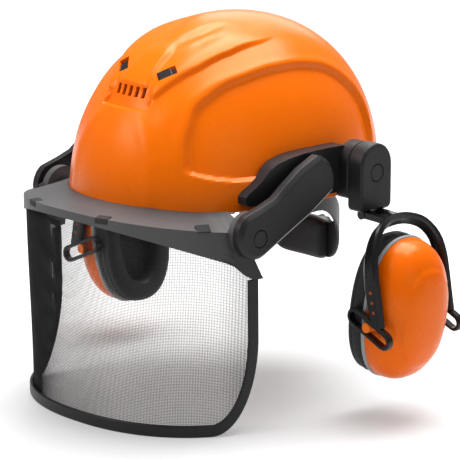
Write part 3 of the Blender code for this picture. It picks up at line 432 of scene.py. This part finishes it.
def shell_relief(points):
    """Offset along the normal, in mm: side recess, spine step, crown valleys, vent ledge, brow facets."""
    x, y, z = np.abs(points[:, 0]), points[:, 1], points[:, 2]
    plan, front = np.stack([x, y], 1), np.stack([points[:, 0], z], 1)
    inside = distance_inside(np.stack([y, z], 1), RECESS_OUTLINE)
    relief = -RECESS_DEPTH * smoothstep(inside, 0, 4.2)
    relief += 0.9 * np.exp(-((inside + 1.5) / 3.0) ** 2) * smoothstep(z, 28, 60)
    top = smoothstep(z, 60, 80)
    distance, along, side = polyline_distance(plan, SPINE)
    signed = distance * side
    fade = smoothstep(along, 0.0, 0.12) * (1 - smoothstep(along, 0.55, 0.97)) * top
    relief += fade * (2.4 * smoothstep(signed, -1.5, 1.5) * (1 - smoothstep(signed, 3, 24))
                      - 1.3 * smoothstep(-signed, -1.0, 2.0) * (1 - smoothstep(-signed, 3, 20)))
    for line, depth, width in ((VALLEY_INNER, 1.9, 6.5), (VALLEY_OUTER, 0.6, 7.0)):
        distance, along, side = polyline_distance(plan, line)
        fade = smoothstep(along, 0.0, 0.4) * (1 - smoothstep(along, 0.6, 1.0))
        relief -= depth * np.exp(-(distance / width) ** 2) * fade * (y < 0) * top
    ahead = smoothstep(-y, 60, 80)
    pocket = distance_inside(front, VENT_OUTLINE)
    relief -= 3.8 * smoothstep(pocket, 0, 2.2) * ahead * (1 - 0.75 * smoothstep(z, 80, 95))
    nose = distance_inside(front, NOSE_OUTLINE)
    relief += 2.2 * smoothstep(nose, -5.0, 2.0) * ahead
    distance, along, side = polyline_distance(np.stack([x, z], 1), FACET)
    relief += 1.1 * np.exp(-(distance / 6.0) ** 2) * ahead * (1 - smoothstep(z, 66, 78))
    return relief + 0.5 * (1 - smoothstep(z, 1.0, 9.0)) * smoothstep(-y, 90, 120)


def slot_block(middle, along, out, length, height, depth):
    """Eight corners of a box on three directions."""
    up = np.cross(along, out)
    return np.array([middle + along * a * length / 2 + up * b * height / 2 + out * c * depth / 2
                     for c in (-1, 1) for a, b in ((-1, -1), (1, -1), (1, 1), (-1, 1))])


def make_shell():
    """Outer and inner skins joined at the rim, then cut by the slots and the two shutter windows."""
    turns = np.linspace(0, 2 * pi, 361)[:-1]
    rises = np.linspace(0, 1, 151)[:-1] ** 0.92
    grid = shell_base(turns[None], rises[:, None])
    flat = grid.reshape(-1, 3)
    normal, relief = shell_slope(flat), shell_relief(flat)
    outer = (flat + normal * relief[:, None]).reshape(grid.shape)
    inner_rises = rises[::3]
    face = shell_base(turns[None], inner_rises[:, None], SHELL_WALL).reshape(-1, 3)
    near = shell_base(turns[None], inner_rises[:, None]).reshape(-1, 3)
    pressed = np.minimum(shell_relief(near), 0)
    inner = (face + shell_slope(near) * pressed[:, None]).reshape(len(inner_rises), len(turns), 3)
    lip = outer[0] * 0.5 + inner[0] * 0.5 - (0, 0, 0.6)
    rings = np.concatenate([inner[::-1], lip[None], outer])
    rows, columns = rings.shape[:2]
    faces = grid_faces(rows, columns, False, True).tolist()
    points = np.vstack([rings.reshape(-1, 3), [(0, CROWN_SHIFT, SHELL_HEIGHT - SHELL_WALL),
                                               (0, CROWN_SHIFT, SHELL_HEIGHT)]])
    count, j = rows * columns, np.arange(columns)
    after = (j + 1) % columns
    faces += np.stack([after, j, np.full(columns, count)], 1).tolist()
    faces += np.stack([count - columns + j, count - columns + after, np.full(columns, count + 1)], 1).tolist()
    shell = piece("shell_skin", points, faces, "helmet", "shell_orange", replaces="shell", smooth=None)
    outward(shell)
    cut_openings(shell)
    shade(shell, 32.0)


def cut_openings(shell):
    """Two shutter windows and five slots, cut by a temporary object of boxes."""
    along = WINDOW_ALONG / np.linalg.norm(WINDOW_ALONG)
    out = shell_slope(WINDOW_MIDDLE[None])[0]
    window = slot_block(WINDOW_MIDDLE, along, out, WINDOW_LENGTH, WINDOW_HEIGHT, 14.0)
    boxes = [window * (side, 1, 1) for side, _ in SIDES]
    for x in np.linspace(-15, 15, 5):
        boxes.append(slot_block(np.array([x, -105.0, SLOT_Z]), np.array([1.0, 0, 0]),
                                np.array([0, -1.0, 0]), SLOT_WIDTH, SLOT_HEIGHT, 60.0))
    faces = [[0, 1, 2, 3], [7, 6, 5, 4], [0, 4, 5, 1], [1, 5, 6, 2], [2, 6, 7, 3], [3, 7, 4, 0]]
    cutter_mesh = bpy.data.meshes.new("cutter")
    cutter_mesh.from_pydata((np.vstack(boxes) * MM).tolist(), [],
                            [[n * 8 + k for k in f] for n in range(len(boxes)) for f in faces])
    cutter = bpy.data.objects.new("cutter", cutter_mesh)
    bpy.context.scene.collection.objects.link(cutter)
    outward(cutter)
    cut = shell.modifiers.new("cut", "BOOLEAN")
    cut.operation, cut.solver, cut.object = "DIFFERENCE", "EXACT", cutter
    finished = bpy.data.meshes.new_from_object(shell.evaluated_get(bpy.context.evaluated_depsgraph_get()))
    shell.modifiers.clear()
    shell.data = finished
    bpy.data.objects.remove(cutter)


def make_vent_liner():
    """Dark slider behind the slots: a plate that follows the shell's inner wall, by width and height."""
    x = np.linspace(-21, 21, 25)[:, None] * np.ones((1, 13))
    z = np.linspace(81, 99, 13)[None, :] * np.ones((25, 1))
    lift = z / SHELL_HEIGHT
    level = (1 - lift ** SHELL_SIDE_POWER) ** (SHELL_PLAN_POWER / SHELL_SIDE_POWER)
    y = -SHELL_FRONT * (level - np.abs(x / SHELL_HALF_WIDTH) ** SHELL_PLAN_POWER) ** (1 / SHELL_PLAN_POWER)
    y += CROWN_SHIFT * lift
    faces = [np.stack([x, y + depth, z], 2) for depth in (SHELL_WALL + 5.5, SHELL_WALL + 7.0)]
    points, quads = sheet_solid(*faces)
    outward(piece("vent_liner", points, quads, "helmet", "charcoal", smooth=40.0))


make_shell()
make_vent_liner()


# ---------------------------------------------------------------- visor
def frame_edge(turns):
    """Plan of the visor frame's outer edge, a superellipse."""
    return (VISOR_HALF_WIDTH * signed_power(np.sin(turns), 2 / VISOR_POWER),
            VISOR_CENTRE_Y - VISOR_DEPTH * signed_power(np.cos(turns), 2 / VISOR_POWER))


def mesh_edge(turns, grow=0.0, z=0.0):
    """Plan of the net at a height: a superellipse that grows shallower downwards."""
    depth = MESH_DEPTH + grow - MESH_TAPER * smoothstep(-np.asarray(z, float), 0, -RIM_BOTTOM)
    return ((MESH_HALF_WIDTH + grow) * signed_power(np.sin(turns), 2 / MESH_POWER),
            MESH_CENTRE_Y - depth * signed_power(np.cos(turns), 2 / MESH_POWER))


def frame_bottom(y):
    """Height of the frame's lower edge along the side."""
    behind = y - (VISOR_CENTRE_Y - VISOR_DEPTH)
    return np.maximum(LIP_BOTTOM - 31 * behind / 77 - 7 * smoothstep(y, -106, -90), RIM_TOP + GAP)


def corner_turn(y_side):
    """Turn at which the net's plan reaches a place along the side, from the superellipse solved for its angle."""
    return float(np.arccos(((MESH_CENTRE_Y - y_side) / MESH_DEPTH) ** (MESH_POWER / 2)))


def wire_tubes(centre, normal, side, radius, count=4, depth=1.0):
    """Many wires at once: an oval section of a few points carried along each row of a grid of centres."""
    angle = np.linspace(0, 2 * pi, count + 1)[:-1]
    return (centre[:, :, None] + normal[:, :, None] * np.cos(angle)[:, None] * radius * depth
            + side[:, :, None] * np.sin(angle)[:, None] * radius)


def tubes_piece(name, tubes, body, slot, replaces=()):
    """One mesh from wires of equal grids, the ends of each wire filled."""
    wires, rows, columns = tubes.shape[:3]
    one = grid_faces(rows, columns, False, True)
    start = (np.arange(wires) * rows * columns)[:, None, None]
    faces = (one[None] + start).reshape(-1, 4)
    ends = np.stack([np.arange(columns)[::-1], (rows - 1) * columns + np.arange(columns)])
    faces = np.vstack([faces, (ends[None] + start).reshape(-1, columns)])
    made = piece(name, tubes.reshape(-1, 3), faces, body, slot, replaces=replaces, smooth=None)
    outward(made)
    return made


def make_net():
    """The net: upright wires on the outside and level wires on the inside, cut to the visor's outline."""
    edge = corner_turn(MESH_SIDE_Y + 1)
    fine = np.linspace(-edge, edge, 1201)
    x, y = mesh_edge(fine, -0.4, -90.0)
    travel = np.concatenate([[0], np.cumsum(np.hypot(np.diff(x), np.diff(y)))])

    def limits(turns):
        """Lowest and highest point of the net at each turn."""
        top = np.minimum(frame_bottom(frame_edge(turns)[1]), frame_bottom(mesh_edge(turns, 4.0)[1]))
        top = top + 2.6 + 5.0 * smoothstep(np.abs(turns), 0.5, 0.9)
        arm = np.clip((edge - np.abs(turns)) * MESH_HALF_WIDTH / (CORNER_ACROSS - 3), 0, 1)
        return MESH_BOTTOM - 2 + (CORNER_UP - 5) * (1 - np.sqrt(1 - (1 - arm) ** 2)), top

    def point(turns, z, grow):
        """Places on the net's plan, by turn and height, a little inside or outside it."""
        x, y = mesh_edge(turns, grow, z)
        return np.stack(np.broadcast_arrays(x, y, z), -1)

    upright = np.interp(np.arange(0.8, travel[-1], WIRE_PITCH), travel, fine)
    low, top = limits(upright)
    z = low[:, None] + (top - low)[:, None] * np.linspace(0, 1, 14)
    centre = point(upright[:, None], z, -WIRE_SET_IN)
    beside = point(upright[:, None] + 0.002, z, -WIRE_SET_IN) - centre
    beside /= np.linalg.norm(beside, axis=2)[:, :, None]
    outwards = np.cross(beside, np.array([0, 0, 1.0]))
    flat = (1.6 + 1.6 * smoothstep(np.abs(upright), 0.5, 1.1))[:, None, None, None]
    tubes_piece("net_upright_wires", wire_tubes(centre, outwards, beside, WIRE_RADIUS, depth=flat), "visor",
                "mesh_black", "visor_mesh")
    levels = np.arange(MESH_BOTTOM - 1, 3.0, WIRE_PITCH)
    fine_low, fine_top = limits(fine)
    rows = []
    for height in levels:
        for part in (fine <= 0, fine >= 0):
            held = fine[part & (fine_low <= height) & (fine_top >= height)]
            if len(held) > 20:
                rows.append((held[0], held[-1], height))
    first, last, height = np.array(rows).T
    turns = first[:, None] + (last - first)[:, None] * np.linspace(0, 1, 61)
    centre = point(turns, height[:, None] * np.ones(61), -WIRE_SET_IN - 2 * WIRE_RADIUS)
    along = np.gradient(centre, axis=1)
    along /= np.linalg.norm(along, axis=2)[:, :, None]
    up = np.broadcast_to(np.array([0, 0, 1.0]), along.shape)
    tubes_piece("net_level_wires", wire_tubes(centre, np.cross(along, up), up, WIRE_RADIUS), "visor",
                "mesh_black")


def make_rim():
    """Rim of the net: a rounded band carried down one side, round a corner, along the bottom and up."""
    def path(y_side, bottom, across, up):
        """Turns and heights down one side, round its oval corner, along the bottom and up."""
        edge = corner_turn(y_side)
        down = np.linspace(RIM_TOP, bottom + up, 9)[:-1]
        swing = np.radians(np.linspace(0, 90, 25))
        turn = np.concatenate([np.full(8, edge), edge - across * (1 - np.cos(swing)) / MESH_HALF_WIDTH])
        z = np.concatenate([down, bottom + up * (1 - np.sin(swing))])
        along = np.linspace(turn[-1], -turn[-1], 90)[1:-1]
        return (np.concatenate([turn, along, -turn[::-1]]),
                np.concatenate([z, np.full(88, bottom), z[::-1]]))

    outer_turn, outer_z = path(RIM_SIDE_Y, RIM_BOTTOM, CORNER_ACROSS, CORNER_UP)
    inner_turn, inner_z = path(RIM_SIDE_Y - RIM_BAND, RIM_BOTTOM + RIM_BAND,
                               CORNER_ACROSS - 9, CORNER_UP - RIM_BAND)
    section = np.radians(np.linspace(0, 360, 25)[:-1])
    share = 0.5 - 0.5 * signed_power(np.cos(section), 0.5)
    grow = 0.4 + RIM_WALL / 2 + RIM_WALL / 2 * signed_power(np.sin(section), 0.55)
    turn = outer_turn[:, None] + (inner_turn - outer_turn)[:, None] * share
    z = outer_z[:, None] + (inner_z - outer_z)[:, None] * share
    x, y = mesh_edge(turn, grow[None], z)
    ring_solid("visor_rim_band", np.stack(np.broadcast_arrays(x, y, z), 2), "visor", "charcoal",
               replaces="visor_rim", smooth=50.0)


def rounded_block(centre, along, out, sizes, power=0.28, count=(17, 28)):
    """A box with soft edges: a superellipsoid of low power on three directions."""
    up = np.cross(out, along)
    tilt = np.linspace(-pi / 2, pi / 2, count[0])[1:-1, None]
    turn = np.linspace(0, 2 * pi, count[1] + 1)[None, :-1]
    a = signed_power(np.cos(tilt), power) * signed_power(np.cos(turn), power)
    b = signed_power(np.cos(tilt), power) * signed_power(np.sin(turn), power)
    c = signed_power(np.sin(tilt), power) * np.ones_like(turn)
    return (np.asarray(centre, float) + a[..., None] * along * sizes[0] / 2 + b[..., None] * out * sizes[1] / 2
            + c[..., None] * up * sizes[2] / 2)


def make_lip_notch_shades():
    """Four dark blocks on the visor frame's front lip, nearly flush with its top and face: painted shade of latch
    notches.
    """
    for side, name in SIDES:
        for place, turn, lean in (("front", 0.352 * side, 0.08), ("side", 1.105 * side, 0.60)):
            edge = np.array([*frame_edge(turn), 0.0])
            along = np.array([*frame_edge(turn + 0.01), 0.0]) - edge
            along /= np.linalg.norm(along)
            out = np.cross(along, np.array([0, 0, 1.0])) * cos(lean) + np.array([0, 0, -sin(lean)])
            edge[2] = LIP_TOP - 12 * ((edge[1] - VISOR_CENTRE_Y + VISOR_DEPTH) / 72) ** 0.85
            centre = edge - out * 3.6 + np.cross(along, out) * 2.2
            # painted shade: a black block, nearly flush, where the latch notch is dark inside
            ring_solid("lip_latch_" + place + "_" + name,
                       rounded_block(centre, along, out, (12.0, 8.4, 5.0), 0.15),
                       "visor", "charcoal", finish="mesh_black", smooth=50.0)


make_net()
make_rim()
make_lip_notch_shades()


# ---------------------------------------------------------------- ear muffs
def cup_frame():
    """Centre of the left cup and its outward and upward directions."""
    out = np.array([cos(CUP_LEAN), 0, -sin(CUP_LEAN)])
    up = np.array([sin(CUP_LEAN), 0, cos(CUP_LEAN)])
    centre = np.array([CUP_PIN_X, MUFF_Y, CUP_PIN_Z]) + up * CUP_RISE
    return centre, out, up


def cup_rings(side, depth, half_width, half_height, count=96):
    """Superellipses across the cup: one ring for each depth, half width and half height."""
    centre, out, up = cup_frame()
    turns = np.linspace(0, 2 * pi, count + 1)[:-1]
    depth, half_width, half_height = (np.asarray(v, float)[:, None, None] for v in (depth, half_width, half_height))
    across = signed_power(np.cos(turns), 2 / CUP_POWER)[None, :, None]
    along = signed_power(np.sin(turns), 2 / CUP_POWER)[None, :, None]
    rings = centre + out * depth + up * along * half_height + np.array([0, 1, 0]) * across * half_width
    return rings * (side, 1, 1)


def make_cup(side, name):
    """Dome with a raised oval panel, its grey ring, the sewn cushion and the foam inside."""
    body = "cup_" + name
    level = np.linspace(0, 1, 40) ** 0.8
    shrink = (1 - (level * 0.995) ** 2.5) ** (1 / 2.5)
    panel = smoothstep(0.70 - shrink, -0.015, 0.025) * 1.2
    outer = cup_rings(side, DOME_BASE + level * (DOME_HEIGHT - 1.2) + panel, CUP_HALF_WIDTH * shrink,
                      CUP_HALF_HEIGHT * shrink)
    inner = cup_rings(side, DOME_BASE + level * (DOME_HEIGHT - 4.5), (CUP_HALF_WIDTH - CUP_WALL) * shrink,
                      (CUP_HALF_HEIGHT - CUP_WALL) * shrink)
    ring_solid("cup_shell_" + name, np.concatenate([inner[::-1], outer]), body, "cup_orange",
               replaces="ear_cup_" + name, smooth=50.0)
    section = np.radians(np.linspace(0, 360, 21)[:-1])
    depth = DOME_BASE - GAP + TRIM_THICKNESS / 2 * (signed_power(np.sin(section), 0.5) - 1)
    reach = signed_power(np.cos(section), 0.5)
    trim = cup_rings(side, depth, TRIM_MIDDLE_WIDTH + TRIM_REACH * reach, TRIM_MIDDLE_HEIGHT + TRIM_REACH * reach)
    ring_solid("cup_ring_" + name, trim, body, "trim_grey", closed=True, replaces="cup_trim_" + name, smooth=50.0)
    make_cushion(side, name, body)
    level = np.linspace(0, 1, 16)
    shrink = (1 - (level * 0.98) ** 3) ** (1 / 3)
    rings = cup_rings(side, DOME_BASE - 3 + level * FOAM_DEPTH, FOAM_HALF_WIDTH * shrink, FOAM_HALF_HEIGHT * shrink)
    foam = ring_solid("cup_foam_" + name, rings, body, "foam_dark", replaces="ear_foam_" + name)


def make_cushion(side, name, body):
    """Stuffed ring: a fat oval section that pulls in at its sewn seam and puckers along it."""
    section = np.radians(np.linspace(0, 360, 49)[:-1])
    count = 240
    turns = np.linspace(0, 2 * pi, count + 1)[:-1]
    depth = CUSHION_TOP + CUSHION_THICKNESS / 2 * (signed_power(np.sin(section), 0.8) - 1)
    reach = signed_power(np.cos(section), 0.8)
    seam = np.exp(-((np.degrees(section) - 352) / 7) ** 2) + np.exp(-((np.degrees(section) + 8) / 7) ** 2)
    rings = cup_rings(side, depth, CUSHION_MIDDLE_WIDTH + (CUSHION_REACH_WIDTH - SEAM_PULL * seam) * reach,
                      CUSHION_MIDDLE_HEIGHT + (CUSHION_REACH_HEIGHT - SEAM_PULL * seam) * reach, count)
    centre = cup_frame()[0] * (side, 1, 1)
    pucker = 0.22 * np.sin(turns * 44) * np.exp(-((np.degrees(section) - 20) / 22) ** 2)[:, None]
    away = rings - centre
    away /= np.linalg.norm(away, axis=2)[:, :, None]
    cushion = ring_solid("ear_pad_" + name, rings + away * pucker[:, :, None], body, "pad_black", closed=True,
                         replaces="ear_cushion_" + name, smooth=None)


def make_detents(side, name):
    """Row of three detent studs on the front leg of the yoke, each a low dome, darkened with painted shade of their
    sockets.
    """
    level, turn = np.linspace(0, 1, 6)[:, None], np.linspace(0, 2 * pi, 21)[None, :-1]
    for number, (x, z) in enumerate(((181.6, -64.0), (183.4, -72.0), (185.2, -80.0))):
        reach = 1.5 * np.cos(level * pi / 2 * 0.96)
        x_ring, z_ring = x + reach * np.cos(turn), z + reach * np.sin(turn)
        y_ring = MUFF_Y - YOKE_HALF_SPREAD - 3.0 - 0.7 * np.sin(level * pi / 2) * np.ones_like(turn)
        rings = np.stack([x_ring, y_ring, z_ring], 2) * (side, 1, 1)
        # the studs take the dark red copy of the pin orange: painted shade of their sockets
        ring_solid("detent_%d_%s" % (number + 1, name), rings, "yoke_body_" + name, "pin_orange",
                   finish="detent_painted_shade", smooth=60.0)


for side, name in SIDES:
    make_cup(side, name)
    make_detents(side, name)


# ---------------------------------------------------------------- harness
def make_straps():
    """Crown webbing: a flat strip carried over an arch, thicker at its two woven edges."""
    for level, (name, start) in enumerate((("front", 38), ("middle", 90), ("rear", 142))):
        angle = radians(start)
        reach = 1 / np.sqrt((sin(angle) / STRAP_SPREAD_X) ** 2 + (cos(angle) / STRAP_SPREAD_Y) ** 2)
        crown = STRAP_CROWN_Z + 1.6 * level
        ahead, beside = np.array([sin(angle), -cos(angle), 0]), np.array([cos(angle), sin(angle), 0])
        up = np.array([0, 0, 1.0])
        swing = np.radians(np.linspace(0, 180, 121))[:, None]
        line = (ahead * reach * signed_power(np.cos(swing), 0.92)
                + up * (STRAP_FOOT_Z + (crown - STRAP_FOOT_Z) * np.sin(swing)))
        out = ahead * np.cos(swing) + up * np.sin(swing)
        width = np.linspace(-STRAP_HALF_WIDTH, STRAP_HALF_WIDTH, 13)[None, :, None]
        bead = 0.35 * np.exp(-((np.abs(width) - 8.2) / 0.7) ** 2)
        top = line[:, None] + beside * width + out[:, None] * (0.75 + bead)
        bottom = line[:, None] + beside * width + out[:, None] * (0.2 - bead * 0.5)
        points, faces = sheet_solid(top, bottom)
        travel = np.concatenate([[0], np.cumsum(np.linalg.norm(np.diff(line, axis=0), axis=1))])
        uv = np.stack(np.broadcast_arrays(width[:, :, 0] + 30, travel[:, None]), 2).reshape(-1, 2)
        strap = piece("crown_webbing_" + name, points, faces, "helmet", "strap_grey",
                      replaces="crown_strap_" + name, uv=np.vstack([uv, uv]), smooth=60.0)
        outward(strap)


def arch_pad(name, turns, half_x, half_y, thick, low, high, body, slot, finish, replaces, channel=0.0):
    """A pad round part of an ellipse: crowned between its edges, pulled in at sewn channels."""
    share = np.linspace(-1, 1, 21)[None]
    crown = (1 - share ** 4) ** 0.5
    ends = np.clip((1 - np.abs(np.linspace(-1, 1, len(turns))) ** 12), 0, 1) ** 0.5
    pull = 1 - channel * np.exp(-((np.abs(np.sin(turns * 9))) / 0.16) ** 2)
    swell = (crown * ends[:, None] * pull[:, None])
    z = (low + high) / 2 + (high - low) / 2 * share * np.ones_like(turns)[:, None]
    faces = []
    for grow in (thick * 0.22 * swell, -thick * 0.78 * swell):
        x = (half_x + grow) * np.sin(turns)[:, None]
        y = -(half_y + grow) * np.cos(turns)[:, None]
        faces.append(np.stack([x, y, z], 2))
    points, quads = sheet_solid(*faces)
    pad = piece(name, points, quads, body, slot, finish=finish, replaces=replaces, smooth=70.0)
    outward(pad)
    shade(pad, 70.0)


def make_nape_pad():
    """Rounded foam pad on the inside of the nape band."""
    turns = np.radians(np.linspace(-17.6, 17.6, 41))[:, None]
    share = np.linspace(-1, 1, 31)[None]
    half = 18.5 * (1 - (turns / 0.335) ** 4).clip(0.02) ** 0.25
    crown = np.sqrt(np.clip(1 - np.maximum(np.abs(share) ** 6, (np.abs(turns) / 0.308) ** 8), 0, 1))
    z = NAPE_LOW + NAPE_RISE * smoothstep(np.abs(turns), 0.25, 1.35) + half * share

    def face(depth):
        """The band's superellipse in plan, grown or shrunk by a depth."""
        x = (NAPE_HALF_WIDTH + depth) * signed_power(np.sin(turns), 2 / NAPE_POWER)
        y = (NAPE_DEPTH + depth) * signed_power(np.cos(turns), 2 / NAPE_POWER)
        return np.stack(np.broadcast_arrays(x, y, z), 2)

    points, faces = sheet_solid(face(-0.6 * np.ones_like(crown)), face(-2.0 - 5.3 * crown))
    pad = piece("nape_cushion", points, faces, "nape", "pad_black", replaces="nape_pad", smooth=60.0)
    outward(pad)
    shade(pad, 60.0)


make_straps()
arch_pad("sweatband_pad", np.radians(np.linspace(-58, 58, 161)), HEAD_HALF_WIDTH - 1.4, HEAD_HALF_LENGTH - 1.4,
         3.8, -11.0, 21.0, "helmet", "pad_black", "sweat", "sweatband", 0.35)
make_nape_pad()


# ---------------------------------------------------------------- finishes of the carried-over nodes
SLOT_OF = {entry["node"]: entry["material_slot"] for entry in frame["record"]["subparts"]}
GLOSSY = {"ratchet_housing", "ratchet_knob", "vent_shutter_left", "vent_shutter_right", "yoke_left", "yoke_right"}
for node, item in frame["nodes"].items():
    if item.hide_render:
        continue
    # the visor frame takes the lighter grey copy of the charcoal: painted light for its lit upward shelf
    finish = "gloss_black" if node in GLOSSY else "frame_painted_light" if node == "visor_frame" else SLOT_OF[node]
    for slot in item.material_slots:
        slot.link = "OBJECT"
        slot.material = finishes[finish].material
    weld = item.modifiers.new("weld", "WELD")
    weld.merge_threshold = 0.00002
    edge = item.modifiers.new("edge", "BEVEL")
    width = 0.0012 if node.startswith(("carrier", "visor_frame", "muff_housing")) else 0.0006
    edge.width, edge.segments, edge.limit_method, edge.angle_limit = width, 2, "ANGLE", radians(32)
    edge.harden_normals = False
    soft = item.modifiers.new("normals", "WEIGHTED_NORMAL")
    soft.keep_sharp = False


# ---------------------------------------------------------------- floor, light and camera
FLOOR_Z = -0.1786
CAMERA_TARGET, CAMERA_DIRECTION = Vector((0.0057, 0.0, -0.0449)), Vector((0.7035, -0.6676, 0.2436))
CAMERA_DISTANCE = 2.5


def make_floor():
    """A wide pale floor just under the visor, kept out of the part."""
    mesh = bpy.data.meshes.new("floor")
    mesh.from_pydata([(x, y, FLOOR_Z) for x, y in ((-8, -8), (8, -8), (8, 8), (-8, 8))], [], [(0, 1, 2, 3)])
    floor = bpy.data.objects.new("floor", mesh)
    bpy.context.scene.collection.objects.link(floor)
    made = Finish("pale_floor", Roughness=0.6, Specular_IOR_Level=0.2, Emission_Color=(1, 1, 1, 1),
                  Emission_Strength=0.26)
    made.into("Base Color", made.blend(made.noise(3.0), (0.54, 0.54, 0.54), (0.56, 0.56, 0.56)))
    mesh.materials.append(made.material)


def make_light(name, place, target, size, power):
    """A square lamp of a size in metres, turned to a point."""
    light = bpy.data.lights.new(name, "AREA")
    light.shape, light.size, light.size_y, light.energy = "RECTANGLE", size, size, power
    item = bpy.data.objects.new(name, light)
    item.location = place
    item.rotation_euler = (Vector(target) - Vector(place)).to_track_quat("-Z", "Y").to_euler()
    bpy.context.scene.collection.objects.link(item)


make_floor()
make_light("key", (-0.9, -1.8, 1.4), (0, 0, 0), 1.2, 28)
make_light("fill", (2.3, -0.6, 1.0), (0, 0, -0.05), 1.4, 4)
make_light("top", (-0.2, 0.5, 2.0), (0, 0, 0), 1.8, 100)
make_light("back", (-1.3, 1.7, 1.1), (0, 0, 0), 1.2, 9)
world = bpy.data.worlds.new("studio")
world.use_nodes = True
world.node_tree.nodes["Background"].inputs[0].default_value = (1, 1, 1, 1)
world.node_tree.nodes["Background"].inputs[1].default_value = 0.27
bpy.context.scene.world = world
bpy.context.scene.view_settings.view_transform = "Standard"

camera = bpy.data.objects.new("camera", bpy.data.cameras.new("camera"))
bpy.context.scene.collection.objects.link(camera)
bpy.context.scene.camera = camera
back = CAMERA_DIRECTION.normalized()
camera.location = CAMERA_TARGET + back * CAMERA_DISTANCE
camera.rotation_euler = (-back).to_track_quat("-Z", "Y").to_euler()
camera.data.lens, camera.data.sensor_width = 229.5, 36.0

bpy.context.view_layer.update()
